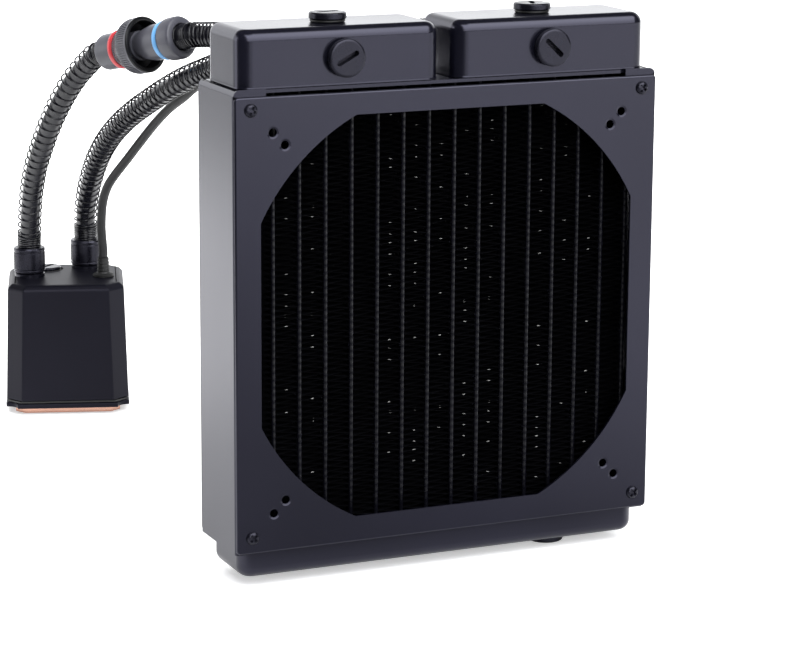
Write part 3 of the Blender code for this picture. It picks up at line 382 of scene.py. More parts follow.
head, rise = 2.95 * mm, 1.55 * mm
shank, cross_half, arm_half, cross_depth = 1.4 * mm, 2.0 * mm, 0.6 * mm, 2.2 * mm
screw = turned("screw", [(0.3 * mm, rise), (head * 0.6, rise * 0.99), (head * 0.85, rise * 0.72),
                         (head, rise * 0.3), (head, 0.1 * mm), (shank, 0.1 * mm), (shank, -3 * mm)], 40)
for turn in (0, math.pi / 2):
    arm = block("arm", (-cross_half, -arm_half, rise - cross_depth), (cross_half, arm_half, rise + mm))
    arm.rotation_euler.z = turn
    carve(screw, arm)
soften(screw, 0.08 * mm, 2, 40)
smooth(screw)
for plate, way in (("front", (0, -1, 0)), ("back", (0, 1, 0))):
    face = plate_low.y if plate == "front" else back_high.y
    for number, (sx, sz) in enumerate(corners, 1):
        one = twin(screw, f"{plate}_cross_screw_{number}")
        move_to(one, (sx * plate_screws, face, holes_up + sz * plate_screws), way, 0.6 + number * 0.12)
        fit(one, black_plating, "cooler", "black_metal", f"{plate}_screw_{number}")
discard(screw)


# Tanks
# Deep drawn boxes of brass sheet with soft edges, soldered to the header plates and
# painted with the housing. Two stand side by side on top, and one lies below.

tank_corner, tank_edge = 7 * mm, 5 * mm
rim_rise, rim_flare = 0.9 * mm, 0.2 * mm  # the open rim flares out a little
bore_radius = 6.7 * mm
bush_length = 6 * mm


def upright(a, b):
    """Whether an edge stands on end."""
    return abs(a.z - b.z) > mm / 2


def middle_of(node):
    """The middle of a solid."""
    low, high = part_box(node)
    return (low + high) / 2


for name in ("top_tank_left", "top_tank_right", "bottom_tank"):
    low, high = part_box(name)
    middle = (low + high) / 2
    on_top = name.startswith("top")
    open_z = low.z if on_top else high.z
    tank = block(name.replace("tank", "drawn_tank"), low, high)
    round_off(tank, upright, tank_corner, 10)
    round_off(tank, lambda a, b: min(abs(a.z - open_z), abs(b.z - open_z)) > mm, tank_edge, 9)
    edit(tank, "EDGE")
    for share in (1, 0.5):
        level = open_z + (rim_rise if on_top else -rim_rise) * share
        bpy.ops.mesh.select_all(action="SELECT")
        bpy.ops.mesh.bisect(plane_co=(0, 0, level), plane_no=(0, 0, 1))
    put_down()
    select_edges(tank, lambda a, b: max(abs(a.z - open_z), abs(b.z - open_z)) < rim_rise * 0.6)
    flare = (1 + 2 * rim_flare / (high.x - low.x), 1 + 2 * rim_flare / (high.y - low.y), 1)
    bpy.ops.transform.resize(value=flare, center_override=middle)
    put_down()
    if on_top:
        port = middle_of(name.replace("top_tank", "plug_front"))
        bores = [((port.x, low.y - mm, port.z), (port.x, low.y + bush_length, port.z)),
                 ((port.x, high.y + mm, port.z), (port.x, high.y - bush_length, port.z)),
                 ((port.x, middle.y, high.z + mm), (port.x, middle.y, high.z - bush_length))]
    else:
        drain = middle_of("plug_drain")
        bores = [((drain.x, middle.y, low.z - mm), (drain.x, middle.y, low.z + bush_length))]
    for start, end in bores:
        carve(tank, rod("bore", bore_radius, start, end))
    smooth(tank, 30)
    fit(tank, black_paint, "cooler", "black_steel", name)


# Core
# Sixteen flat tubes with a folded strip of thin fins soldered between each two of them,
# dipped in matt black paint. Here and there a pale painted glint sits on a fin's front edge.

core_low, core_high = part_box("radiator_core")
tubes = 16
tube_thick, tube_round = 2.0 * mm, 0.98 * mm
tube_pitch = (core_high.x - core_low.x - tube_thick) / (tubes - 1)
matt_black = finish("matt_black_dip", (0.003, 0.003, 0.005), 0.24, grain=1800, relief=0.1, patch=60)
tube_places = [core_low.x + tube_thick / 2 + i * tube_pitch for i in range(tubes)]
one = block("flat_tubes", (-tube_thick / 2, *core_low.yz), (tube_thick / 2, *core_high.yz))
round_off(one, upright, tube_round, 4)
smooth(one)
copies = []
for x in tube_places:
    tube = twin(one, "tube")
    tube.location.x = x
    copies.append(tube)
discard(one)


def join(pieces, name):
    """Joins pieces into one, with its place applied."""
    put_down()
    for piece in pieces:
        piece.select_set(True)
    bpy.context.view_layer.objects.active = pieces[0]
    bpy.ops.object.join()
    joined = bpy.context.object
    joined.name = name
    bpy.ops.object.transform_apply()
    return joined


nodes, links = matt_black.node_tree.nodes, matt_black.node_tree.links
bands = nodes.new("ShaderNodeTexWave")  # the paint is duller where the folds of the fins touch the tube
bands.bands_direction = "Z"
bands.inputs["Scale"].default_value = 0.314 / (3.3 * mm)  # one band every 3.3 mm
place = nodes.new("ShaderNodeTexCoord")
links.new(place.outputs["Object"], bands.inputs["Vector"])
dull = nodes.new("ShaderNodeMapRange")
dull.inputs["To Min"].default_value, dull.inputs["To Max"].default_value = 0.1, 0.36
links.new(bands.outputs["Fac"], dull.inputs["Value"])
links.new(dull.outputs["Result"], nodes["Principled BSDF"].inputs["Specular IOR Level"])
fit(join(copies, "flat_tubes"), matt_black, "cooler", "dark_tube", "radiator_core")

fins_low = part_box("lower_header")[1].z
fins_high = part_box("upper_header")[0].z
fold_rise, fin_sheet = 1.3 * mm, 0.16 * mm
folds = round((fins_high - fins_low) / fold_rise)
fin_half = (tube_pitch - tube_thick) / 2
put_down()
bpy.ops.mesh.primitive_grid_add(x_subdivisions=folds, y_subdivisions=1, size=1, location=(0, 0, 0))
strip = bpy.context.object
strip.name = "fin_strips"
strip.scale = (fins_high - fins_low, core_high.y - core_low.y - mm, 1)
strip.rotation_euler = (0, -math.pi / 2, 0)
bpy.ops.object.transform_apply()
row_height = (fins_high - fins_low) / folds
for even, shift in ((0, fin_half), (1, -fin_half)):
    bm = edit(strip, "VERT")
    bottom = min(v.co.z for v in bm.verts)
    for v in bm.verts:
        v.select_set(round((v.co.z - bottom) / row_height) % 2 == even)
    bmesh.update_edit_mesh(strip.data)
    bpy.ops.transform.translate(value=(shift, 0, 0))
    put_down()
wall = strip.modifiers.new("sheet", "SOLIDIFY")
wall.thickness = fin_sheet
wall.offset = 0
harden(strip, wall)
copies = []
for left, right in zip(tube_places, tube_places[1:]):
    copy = twin(strip, "strip")
    copy.location = ((left + right) / 2, middle_of("radiator_core").y, (fins_low + fins_high) / 2)
    copies.append(copy)
discard(strip)


def painted_glints(material, first, pitch, rows, wide, tall, front):
    """Painted glints: tiny pale spots at the front of the folds, in rows up the middle of some strips."""
    dark_folds, dark_strips = 0.62, 0.4  # the shares of folds and of strips without painted glints
    nodes, links = material.node_tree.nodes, material.node_tree.links
    shader = nodes["Principled BSDF"]
    painted = shader.inputs["Base Color"].links[0].from_socket
    place = nodes.new("ShaderNodeTexCoord")
    parts = nodes.new("ShaderNodeSeparateXYZ")
    links.new(place.outputs["Object"], parts.inputs[0])

    def maths(kind, value, number=0.0):
        step = nodes.new("ShaderNodeMath")
        step.operation = kind
        links.new(value, step.inputs[0])
        if isinstance(number, float):
            step.inputs[1].default_value = number
        else:
            links.new(number, step.inputs[1])
        return step.outputs[0]

    across = maths("SUBTRACT", parts.outputs["X"], first)
    strip = maths("SNAP", across, pitch)
    aside = maths("ABSOLUTE", maths("SUBTRACT", maths("SUBTRACT", across, strip), pitch / 2))
    row = maths("SNAP", parts.outputs["Z"], rows)
    above = maths("SUBTRACT", parts.outputs["Z"], row)
    cell = nodes.new("ShaderNodeCombineXYZ")
    links.new(strip, cell.inputs["X"])
    links.new(maths("MULTIPLY", row, 3.7), cell.inputs["Y"])
    chance = nodes.new("ShaderNodeTexWhiteNoise")
    chance.noise_dimensions = "2D"
    links.new(cell.outputs[0], chance.inputs["Vector"])
    line = nodes.new("ShaderNodeTexWhiteNoise")
    line.noise_dimensions = "1D"
    links.new(maths("MULTIPLY", strip, 91.0), line.inputs["W"])
    glint = maths("MULTIPLY", maths("GREATER_THAN", chance.outputs["Value"], dark_folds),
                 maths("GREATER_THAN", line.outputs["Value"], dark_strips))
    for near, limit in ((aside, wide), (above, tall), (parts.outputs["Y"], front)):
        glint = maths("MULTIPLY", glint, maths("LESS_THAN", near, limit))
    mix = nodes.new("ShaderNodeMix")
    mix.data_type = "RGBA"
    links.new(glint, mix.inputs["Factor"])
    links.new(painted, mix.inputs["A"])
    # the pale colour of the painted glints
    mix.inputs["B"].default_value = (0.5, 0.5, 0.48, 1)
    links.new(mix.outputs["Result"], shader.inputs["Base Color"])


fin_paint = finish("fin_paint", (0.003, 0.003, 0.004), 0.6, grain=1500, relief=0.1, patch=80, level=0.04)
painted_glints(fin_paint, tube_places[0], tube_pitch, 4.8 * mm, 0.55 * mm, 1.2 * mm, core_low.y + 1.4 * mm)
fit(join(copies, "fin_strips"), fin_paint, "cooler", "dark_tube", "radiator_core")


# Screw plugs and their seals
# Black turned plugs with a coin slot, each on a rubber ring. They close the ports that
# are not in use, the drain below and the filler on the pump.

def axis_of(joint):
    """Where a joint of the frame is, and which way it points."""
    found = next(j for j in frame["joints"] if j["name"] == joint)
    return Vector(found["pos_m"]), Vector(found["axis"])


thread_radius = 6.35 * mm
seal_rise = 0.9 * mm
plug_seat = 1.5 * mm
slot_half, slot_side = 5.6 * mm, 1.15 * mm


def coin_plug(radius, thick):
    """A turned plug about +Z with a thread below its head and a coin slot in it."""
    top = plug_seat + thick
    profile = [(radius - 1.3 * mm, top), (radius - 0.5 * mm, top - 0.12 * mm), (radius, top - 0.6 * mm),
               (radius, plug_seat + 0.3 * mm), (radius - 0.3 * mm, plug_seat), (thread_radius, plug_seat)]
    threads, pitch = 6, 0.67 * mm
    for i in range(threads):
        level = plug_seat - 0.5 * mm - i * pitch * 1.5
        profile += [(thread_radius, level), (thread_radius - 0.4 * mm, level - pitch / 2),
                    (thread_radius, level - pitch)]
    plug = turned("plug", profile, 72)
    slot = block("slot", (-slot_half, -slot_side, plug_seat - 1.6 * mm), (slot_half, slot_side, top + mm))
    round_off(slot, upright, slot_side - 0.05 * mm, 6)
    carve(plug, slot)
    soften(plug, 0.12 * mm, 2, 40)
    smooth(plug)
    return plug


seal_ring, seal_wire, seal_squash = 7.2 * mm, 0.62 * mm, 0.9
plug_master = coin_plug(8.4 * mm, 3.0 * mm)
filler_master = coin_plug(7.6 * mm, 1.4 * mm)
put_down()
bpy.ops.mesh.primitive_torus_add(major_radius=seal_ring, minor_radius=seal_wire, major_segments=64,
                                 minor_segments=16, location=(0, 0, 0.3 * mm + seal_rise / 2))
seal_master = bpy.context.object
bpy.ops.object.transform_apply()
seal_master.scale.z = seal_squash
smooth(seal_master)
seal_rubber = finish("seal_rubber", (0.012, 0.012, 0.012), 0.5, grain=1500, relief=0.1, patch=150)
slot_turns = {"front_left": 28, "front_right": -43, "top_left": 15, "top_right": 70, "drain": 0, "filler": 35}
for name, degrees in slot_turns.items():
    at, way = axis_of(f"plug_{name}_turn")
    plug = twin(filler_master if name == "filler" else plug_master, "coin_plug_" + name)
    move_to(plug, at, way, math.radians(degrees))
    fit(plug, black_plating, "plug_" + name, "black_metal", "plug_" + name)
    seal = twin(seal_master, "seal_ring_" + name)
    move_to(seal, at, way)
    fit(seal, seal_rubber, "seal_" + name, "rubber", "seal_" + name)
for master in (plug_master, filler_master, seal_master):
    discard(master)


# Hose fittings
# Black compression fittings: a collar screwed into the port, and a nut that clamps the
# hose on it. Two are on the radiator's back and two on the pump.

nut_radius = 8.6 * mm
nut_length = 13.6 * mm
hose_bore = 6.2 * mm
collar_length = 3.2 * mm
low = 0.6 * mm + collar_length
nut_profile = [(hose_bore, low), (nut_radius - 0.4 * mm, low), (nut_radius, low + 0.4 * mm)]
for groove in (1.6 * mm, nut_length - 2.2 * mm):
    nut_profile += [(nut_radius, low + groove - 0.5 * mm), (nut_radius - 0.25 * mm, low + groove - 0.2 * mm),
                    (nut_radius - 0.25 * mm, low + groove + 0.2 * mm), (nut_radius, low + groove + 0.5 * mm)]
nut_profile += [(nut_radius, low + nut_length - 0.8 * mm), (nut_radius - 0.5 * mm, low + nut_length),
                (hose_bore + 0.4 * mm, low + nut_length), (hose_bore, low + nut_length - 0.6 * mm)]
collar_radius = 8.2 * mm
collar_profile = [(thread_radius, -4 * mm), (thread_radius, 0.3 * mm), (collar_radius - 0.4 * mm, 0.3 * mm),
                  (collar_radius, 0.7 * mm), (collar_radius, collar_length - 0.3 * mm),
                  (collar_radius - 0.6 * mm, collar_length + 0.2 * mm), (5.4 * mm, collar_length + 0.3 * mm)]


def knurl(piece, start, end, radius, sides, depth):
    """Sinks every other strip of faces between two heights, so that fine ribs stand."""
    bm = edit(piece, "FACE")
    for face in bm.faces:
        middle = face.calc_center_median()
        out = face.normal.to_2d().dot(middle.to_2d()) > 0
        step = round(math.atan2(middle.y, middle.x) / math.tau * sides - 0.5)
        face.select_set(out and start < middle.z < end and middle.to_2d().length > radius and step % 2 == 0)
    bmesh.update_edit_mesh(piece.data)
    bpy.ops.mesh.extrude_region_move(TRANSFORM_OT_translate={"value": (0, 0, 0)})
    bpy.ops.transform.resize(value=(depth, depth, 1), center_override=(0, 0, 0))
    put_down()


def nut_seat(name, way):
    """Where a fitting's nut starts on its axis, and where its hose ends."""
    low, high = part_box(f"fitting_{name}_nut")
    x, y, z = (low + high) / 2
    return Vector((x, y, low.z) if way.z else (x, low.y, z))


up, back = Vector((0, 0, 1)), Vector((0, 1, 0))
for name, way in (("inlet", up), ("outlet", up), ("left", back), ("right", back)):
    at = nut_seat(name, way) - way * low
    nut = turned(f"clamp_nut_{name}", nut_profile, 128, True)
    knurl(nut, low + 2.4 * mm, low + nut_length - 2.9 * mm, nut_radius - 0.1 * mm, 128, 0.99)
    smooth(nut, 30)
    move_to(nut, at, way)
    fit(nut, black_plating, "cooler", "black_metal", f"fitting_{name}_nut")
    body = turned(f"fitting_collar_{name}", collar_profile, 64)
    smooth(body, 30)
    move_to(body, at, way)
    fit(body, black_plating, "cooler", "black_metal", f"fitting_{name}_body")


# Pump block
# A moulded housing with tapering walls and cut corners on a black frame, with the copper
# cold plate below and a cover sunk into its roof.

pump_at = axis_of("rotor_spin")[0]
pump_at = Vector((pump_at.x, pump_at.y, 0))
pump_turn = -math.radians(18)
pump_plastic = finish("pump_plastic", (0.0035, 0.0035, 0.006), 0.42, grain=2200, relief=0.1, patch=14,
                      spread=0.03, tint=(0.8, 0.78, 1), level=0.19)
shell_low, shell_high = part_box("pump_shell")
shell_half, shell_top_half = 33.1 * mm, 31.4 * mm
shell_corner = 8.3 * mm
rim, rounding, land, sunk = 2.4 * mm, 0.95 * mm, 0.7 * mm, 1.3 * mm
gland_bore, bore_depth = 2.8 * mm, 8 * mm


def on_pump_block(piece, material, slot, node):
    """Gives a piece of the pump block, which was made upright at the origin, its place."""
    smooth(piece, 30)
    move_to(piece, pump_at, (0, 0, 1), pump_turn)
    fit(piece, material, "cooler", slot, node)


def select_roof(piece):
    """In edit mode, selects the faces that look straight up."""
    bm = edit(piece, "FACE")
    for face in bm.faces:
        face.select_set(face.normal.z > 0.999)
    bmesh.update_edit_mesh(piece.data)


def slab(name, half, low, high):
    """A square block about the origin."""
    return block(name, (-half, -half, low), (half, half, high))


shell = slab("pump_housing", shell_half, shell_low.z, shell_high.z - rim)
select_edges(shell, lambda a, b: min(a.z, b.z) > shell_high.z - 2 * rim)
taper = shell_top_half / shell_half
bpy.ops.transform.resize(value=(taper, taper, 1), center_override=(0, 0, shell_high.z))
put_down()
round_off(shell, upright, shell_corner)
select_roof(shell)
bpy.ops.mesh.extrude_region_move(TRANSFORM_OT_translate={"value": (0, 0, rim)})
shrink = (shell_top_half - rim) / shell_top_half
bpy.ops.transform.resize(value=(shrink, shrink, 1), center_override=(0, 0, shell_high.z))
put_down()
round_off(shell, lambda a, b: abs(a.z - b.z) < close and a.z > shell_high.z - rim - close, rounding, 4)
select_roof(shell)
bpy.ops.mesh.inset(thickness=land)
bpy.ops.mesh.extrude_region_move(TRANSFORM_OT_translate={"value": (0, 0, -sunk)})
put_down()
roof = shell_high.z - sunk
ports = {}
turn_back = Matrix.Rotation(-pump_turn, 3, "Z")
for name, node in (("inlet", "fitting_inlet_nut"), ("outlet", "fitting_outlet_nut"),
                   ("filler", "plug_filler"), ("gland", "cable_gland")):
    away = middle_of(node) - pump_at
    ports[name] = turn_back @ Vector((away.x, away.y, 0))
for name, spot in ports.items():
    radius = gland_bore if name == "gland" else bore_radius
    carve(shell, rod("bore", radius, (*spot.xy, roof - bore_depth), (*spot.xy, shell_high.z + mm)))
soften(shell, 0.7 * mm, 4, 18)
on_pump_block(shell, pump_plastic, "pump_plastic", "pump_shell")

cover_half = shell_top_half - rim - rounding - 1.0 * mm
cover = slab("sunk_cover", cover_half, roof + 0.3 * mm, shell_high.z)
round_off(cover, upright, shell_corner - rim)
cover_holes = {"inlet": 8.0, "outlet": 8.0, "filler": 8.7, "gland": 5.5}
for name, spot in ports.items():
    carve(cover, rod("hole", cover_holes[name] * mm, (*spot.xy, roof - mm), (*spot.xy, roof + 3 * mm)))
soften(cover, 0.2 * mm, 2)
on_pump_block(cover, pump_plastic, "pump_plastic", "top_cover")

base_low, base_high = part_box("base_frame")
base_half, scallop = 33.4 * mm, 6.2 * mm
base = slab("mounting_frame", base_half, base_low.z, base_high.z)
for sx, sy in corners:
    spot = (sx * base_half, sy * base_half)
    carve(base, rod("bite", scallop, (*spot, base_low.z - mm), (*spot, base_high.z + mm), 64))
soften(base, 0.6 * mm, 3)
on_pump_block(base, pump_plastic, "black_metal", "base_frame")

copper_half, copper_thick, copper_corner = 28.4 * mm, 3.2 * mm, 5 * mm
copper = finish("polished_copper", (0.64, 0.36, 0.27), 0.24, 1.0, grain=700, relief=0.03, patch=30, tone=0.12)
plate = slab("copper_plate", copper_half, 0, copper_thick)
round_off(plate, upright, copper_corner)
soften(plate, 0.4 * mm, 3)
on_pump_block(plate, copper, "copper", "cold_plate")

gland_low, gland_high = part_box("cable_gland")
boot_radius, foot_radius = 3.1 * mm, 5.2 * mm
boot_profile = [(boot_radius - 0.5 * mm, gland_high.z), (boot_radius - 0.1 * mm, gland_high.z - 0.3 * mm)]
ribs, rib_pitch = 4, 1.9 * mm
for i in range(ribs):
    level = gland_high.z - 1.6 * mm - i * rib_pitch
    wide = boot_radius + i * 0.12 * mm
    boot_profile += [(wide, level), (wide - 0.2 * mm, level - 0.2 * mm), (wide - 0.2 * mm, level - 0.5 * mm),
                     (wide, level - 0.7 * mm)]
boot_profile += [(boot_radius + 0.7 * mm, roof + 3.4 * mm), (foot_radius, roof + 3.1 * mm),
                 (foot_radius + 0.5 * mm, roof + 2.7 * mm), (foot_radius + 0.5 * mm, roof + 1.7 * mm),
                 (foot_radius, roof + 1.5 * mm), (foot_radius, roof + 0.3 * mm), (2.5 * mm, roof + 0.3 * mm),
                 (2.5 * mm, gland_low.z)]
boot = turned("cable_boot", boot_profile, 48)
smooth(boot, 40)
to_gland = middle_of("cable_gland")
move_to(boot, (to_gland.x, to_gland.y, 0))
fit(boot, seal_rubber, "cooler", "rubber", "cable_gland")


# Quick coupling
# Grey moulded plastic. The socket with a red ring has a swivel sleeve with fine ribs, and
# the insert with a blue ring goes into its mouth. It hangs on the two hoses.

coupling_at, coupling_way = axis_of("collar_turn")
grey_plastic = finish("grey_plastic", (0.070, 0.070, 0.086), 0.36, grain=2600, relief=0.1, patch=60,
                      spread=0.04)
red_plastic = finish("red_plastic", (0.60, 0.05, 0.06), 0.3, patch=80, tone=0.1)
blue_plastic = finish("blue_plastic", (0.16, 0.42, 0.78), 0.3, patch=80, tone=0.1)
ring_at, ring_wide, insert_ring_at = 10.8 * mm, 3.0 * mm, 43.1 * mm
socket_radius, sleeve_radius, insert_radius, flange_radius = 9.3 * mm, 14.3 * mm, 9.2 * mm, 10.9 * mm
mouth, coupling_length = 30 * mm, 56 * mm
groove = socket_radius - 1 * mm
neck = 7.6 * mm
hose_in = 8 * mm
red_end = ring_at + ring_wide


def on_coupling(piece, angle, material, body, slot, node):
    """Gives a piece of the coupling, which was made about +Z, its place on the slanting axis."""
    smooth(piece, angle)
    move_to(piece, coupling_at, coupling_way)
    fit(piece, material, body, slot, node)


socket = turned("socket_body", [
    (6.9 * mm, hose_in), (6.9 * mm, 0.4 * mm), (7.3 * mm, 0), (socket_radius - 1.6 * mm, 0),
    (socket_radius - 0.5 * mm, 0.5 * mm), (socket_radius, 1.8 * mm), (socket_radius, ring_at),
    (groove, ring_at), (groove, red_end), (socket_radius, red_end), (socket_radius, red_end + mm),
    (neck, red_end + mm), (neck, 26 * mm), (5.5 * mm, 26 * mm), (5.5 * mm, 16.7 * mm)], 72)
soften(socket, 0.15 * mm, 2)
on_coupling(socket, 40, grey_plastic, "cooler", "grey_plastic", "coupling_socket")


def hoop(name, inner, outer, start, end):
    """A moulded ring with a crowned outside."""
    middle = (start + end) / 2
    return turned(name, [(inner, start), (outer - 0.45 * mm, start), (outer - 0.12 * mm, start + 0.4 * mm),
                         (outer, middle), (outer - 0.12 * mm, end - 0.4 * mm), (outer - 0.45 * mm, end),
                         (inner, end)], 72, True)


red = hoop("red_ring", groove + 0.3 * mm, socket_radius + 0.8 * mm, ring_at + 0.2 * mm, red_end - 0.2 * mm)
on_coupling(red, 50, red_plastic, "cooler", "red_plastic", "coupling_red_ring")

start = red_end + 1.3 * mm
shoulder = start + 7 * mm
lip = sleeve_radius - 2.3 * mm
sleeve = turned("swivel_sleeve", [
    (neck + 0.3 * mm, start), (socket_radius + 0.3 * mm, start), (socket_radius + 0.9 * mm, start + 0.5 * mm),
    (sleeve_radius - 2.0 * mm, shoulder - 3.2 * mm), (sleeve_radius - 0.5 * mm, shoulder - 0.8 * mm),
    (sleeve_radius, shoulder + 1.0 * mm), (sleeve_radius, mouth - 2.2 * mm),
    (sleeve_radius + 0.1 * mm, mouth - 1.6 * mm), (sleeve_radius + 0.1 * mm, mouth - 0.9 * mm),
    (sleeve_radius - 0.4 * mm, mouth - 0.2 * mm), (sleeve_radius - 1.1 * mm, mouth),
    (lip + 0.4 * mm, mouth - 0.2 * mm), (lip, mouth - 0.9 * mm), (lip, shoulder),
    (neck + 0.3 * mm, start + 3 * mm)], 144, True)
knurl(sleeve, start + 0.6 * mm, mouth - 2.4 * mm, socket_radius + 0.7 * mm, 144, 0.97)
on_coupling(sleeve, 35, grey_plastic, "coupling_collar", "grey_plastic", "coupling_sleeve")
# Painted shade: the inside of the sleeve and its rounded mouth get a near black material, for the shade deep
# in the mouth and a painted dark reflection on the rim.
painted_mouth_shade = finish("painted_mouth_shade", (0.003, 0.003, 0.004), 0.3, grain=2000, relief=0.05, patch=60)
sleeve.data.materials.append(painted_mouth_shade)
for face in sleeve.data.polygons:
    reach = (face.center - coupling_at).dot(coupling_way)
    away = face.center - coupling_at - coupling_way * reach
    inside = away.length < sleeve_radius - 1.0 * mm and face.normal.dot(away) < 0
    if inside or reach > mouth - 0.7 * mm:
        face.material_index = 1

blue_end = insert_ring_at + ring_wide
insert_groove = insert_radius - 1 * mm
insert = turned("insert_body", [
    (5.2 * mm, 17 * mm), (5.2 * mm, 26.3 * mm), (6.6 * mm, 26.3 * mm), (7.2 * mm, 28 * mm),
    (8.4 * mm, 33 * mm), (insert_radius, 37 * mm), (insert_radius, insert_ring_at),
    (insert_groove, insert_ring_at), (insert_groove, blue_end), (insert_radius + 0.2 * mm, blue_end),
    (flange_radius - 0.3 * mm, blue_end + 1.6 * mm), (flange_radius, blue_end + 2.6 * mm),
    (flange_radius, coupling_length - 1.8 * mm),
    (flange_radius - 0.6 * mm, coupling_length - 0.5 * mm), (flange_radius - 1.8 * mm, coupling_length),
    (7.3 * mm, coupling_length), (6.9 * mm, coupling_length - 0.4 * mm),
    (6.9 * mm, coupling_length - hose_in)], 72)
soften(insert, 0.15 * mm, 2)
on_coupling(insert, 40, grey_plastic, "cooler", "grey_plastic", "coupling_insert")
blue = hoop("blue_ring", insert_groove + 0.3 * mm, insert_radius + 0.8 * mm, insert_ring_at + 0.2 * mm,
            blue_end - 0.2 * mm)
on_coupling(blue, 50, blue_plastic, "cooler", "blue_plastic", "coupling_blue_ring")


# Hoses
# Black rubber hose with a black enamelled wire wound round it against kinks. One goes from
# the pump to the coupling, one on from there to the radiator, and one straight back.

hose_radius = 5.2 * mm
wire_radius = 0.45 * mm
spring_radius = 6.2 * mm
wire_pitch = 5.0 * mm
tight_pitch = 2.2 * mm  # from the coupling to the radiator
hose_sag = 0.9 * mm  # the hose lies against the lower side of its wire
route_step = 4 * mm


def along(distance):
    """A point on the coupling's axis."""
    return coupling_at + coupling_way * distance


def metres(points):
    """Points that are written in millimetres."""
    return [Vector(p) * mm for p in points]


def smooth_route(points, spacing):
    """Points at even distances on a smooth curve with a straight first and last stretch."""
    fine = [points[0].lerp(points[1], i / 6) for i in range(6)]
    for a, b, c, d in zip(points, points[1:], points[2:], points[3:]):
        for i in range(24):
            t = i / 24
            fine.append(0.5 * (2 * b + (c - a) * t + (2 * a - 5 * b + 4 * c - d) * t * t
                               + (3 * b - a - 3 * c + d) * t ** 3))
    fine += [points[-2].lerp(points[-1], i / 6) for i in range(7)]
    run = [0.0]
    for a, b in zip(fine, fine[1:]):
        run.append(run[-1] + (b - a).length)
    count = round(run[-1] / spacing)
    even, k = [], 0
    for i in range(count + 1):
        goal = run[-1] * i / count
        while k < len(run) - 2 and run[k + 1] < goal:
            k += 1
        even.append(fine[k].lerp(fine[k + 1], (goal - run[k]) / (run[k + 1] - run[k])))
    return even, run[-1]


def cord_line(name, points, radius, sides=5):
    """A curve along the points, as thick as the cord."""
    curve = bpy.data.curves.new(name, "CURVE")
    curve.dimensions = "3D"
    curve.bevel_depth = radius
    curve.bevel_resolution = sides
    curve.use_fill_caps = True
    spline = curve.splines.new("POLY")
    spline.points.add(len(points) - 1)
    for point, co in zip(spline.points, points):
        point.co = (*co, 1)
    return placed(name, curve)


def wound(points, radius, pitches, per_turn=14):
    """The line of a wire wound round a route, whose pitch changes with the share of the way."""
    total = len(points) - 1
    step = (points[1] - points[0]).length
    side = (points[1] - points[0]).orthogonal().normalized()
    line, angle = [], 0.0
    tangent = (points[1] - points[0]).normalized()
    position = 0.0
    while position < total:
        k = int(position)
        here = points[k].lerp(points[k + 1], position - k)
        ahead = (points[min(k + 1, total)] - points[max(k - 1, 0)]).normalized()
        side = tangent.rotation_difference(ahead) @ side
        side = (side - ahead * side.dot(ahead)).normalized()
        tangent = ahead
        line.append(here + Quaternion(ahead, angle) @ side * radius)
        angle += math.tau / per_turn
        position += pitches(position / total) / per_turn / step
    return line


def sagged(points, depth):
    """The same route, a little lower between its ends."""
    total = len(points) - 1
    moved = []
    for i, point in enumerate(points):
        way = (points[min(i + 1, total)] - points[max(i - 1, 0)]).normalized()
        down = Vector((0, -1, -1))
        down -= way * down.dot(way)
        share = min(1.0, max(0.0, min(i, total - i) / total * 14 - 0.6))  # in full a ninth of the way on
        moved.append(point + down.normalized() * depth * share)
    return moved


hose_rubber = finish("hose_rubber", (0.008, 0.008, 0.012), 0.27, grain=1200, relief=0.05, patch=60,
                     spread=0.05)
spring_enamel = finish("spring_enamel", (0.006, 0.006, 0.009), 0.22, grain=1500, relief=0.05, patch=200)
held = 15 * mm
inlet_end, outlet_end = nut_seat("inlet", up), nut_seat("outlet", up)
left_end, right_end = nut_seat("left", back), nut_seat("right", back)
pump_route = [(-81.6, 163.4, 104), (-83.0, 154.5, 120), (-83.8, 143.0, 136), (-83.2, 130.5, 151),
              (-81.6, 118.5, 165.5), (-78.9, 106.5, 179), (-75.4, 95.5, 190.5), (-71.6, 84.5, 199.5)]
radiator_route = [(-37.2, 12.6, 219.6), (-25.5, -4.0, 220.9), (-9.0, -25.0, 222.3), (8.5, -49.0, 224.4),
                  (25.5, -76.0, 227.3), (39.5, -104.0, 231.0)]
return_route = [(-45.6, 175.5, 104), (-46.6, 166.5, 117.5), (-47.6, 153.0, 131.5), (-48.3, 137.0, 144.0),
                (-48.4, 119.5, 155.0), (-47.8, 101.5, 164.5), (-46.8, 84.5, 172.3), (-45.6, 68.5, 179.0),
                (-43.8, 53.0, 185.6), (-41.3, 38.5, 191.8), (-38.2, 24.5, 197.3), (-35.5, 9.5, 202.2),
                (-34.6, -8.0, 207.0), (-36.4, -30.0, 212.0), (-40.6, -58.0, 219.0), (-45.8, -88.0, 226.4),
                (-49.4, -112.0, 231.6)]
socket_end, insert_end = hose_in - 0.3 * mm, coupling_length - hose_in + 0.3 * mm
routes = {
    "hose_pump_side": [inlet_end, inlet_end + up * held, *metres(pump_route),
                       along(hose_in - held), along(socket_end)],
    "hose_radiator_side": [along(insert_end), along(coupling_length - hose_in + held),
                           *metres(radiator_route), right_end + back * held, right_end],
    "hose_return": [outlet_end, outlet_end + up * held, *metres(return_route),
                    left_end + back * held, left_end],
}
close_pitch, easing = 1.1 * mm, 2.5 * mm
nut_hold, coupling_hold = 18 * mm, 10 * mm  # the wire lies close in its holder and a little beyond
holds = {"hose_pump_side": (nut_hold, coupling_hold), "hose_radiator_side": (coupling_hold, nut_hold),
         "hose_return": (nut_hold, nut_hold)}


def pitch_of(name, length):
    """The wire lies close beside a hose's holders and open between them."""
    def at(share):
        open_pitch = tight_pitch if name == "hose_radiator_side" else wire_pitch
        clear = min(share * length - holds[name][0], (1 - share) * length - holds[name][1])
        return close_pitch + (open_pitch - close_pitch) * min(1.0, max(0.0, clear / easing))
    return at


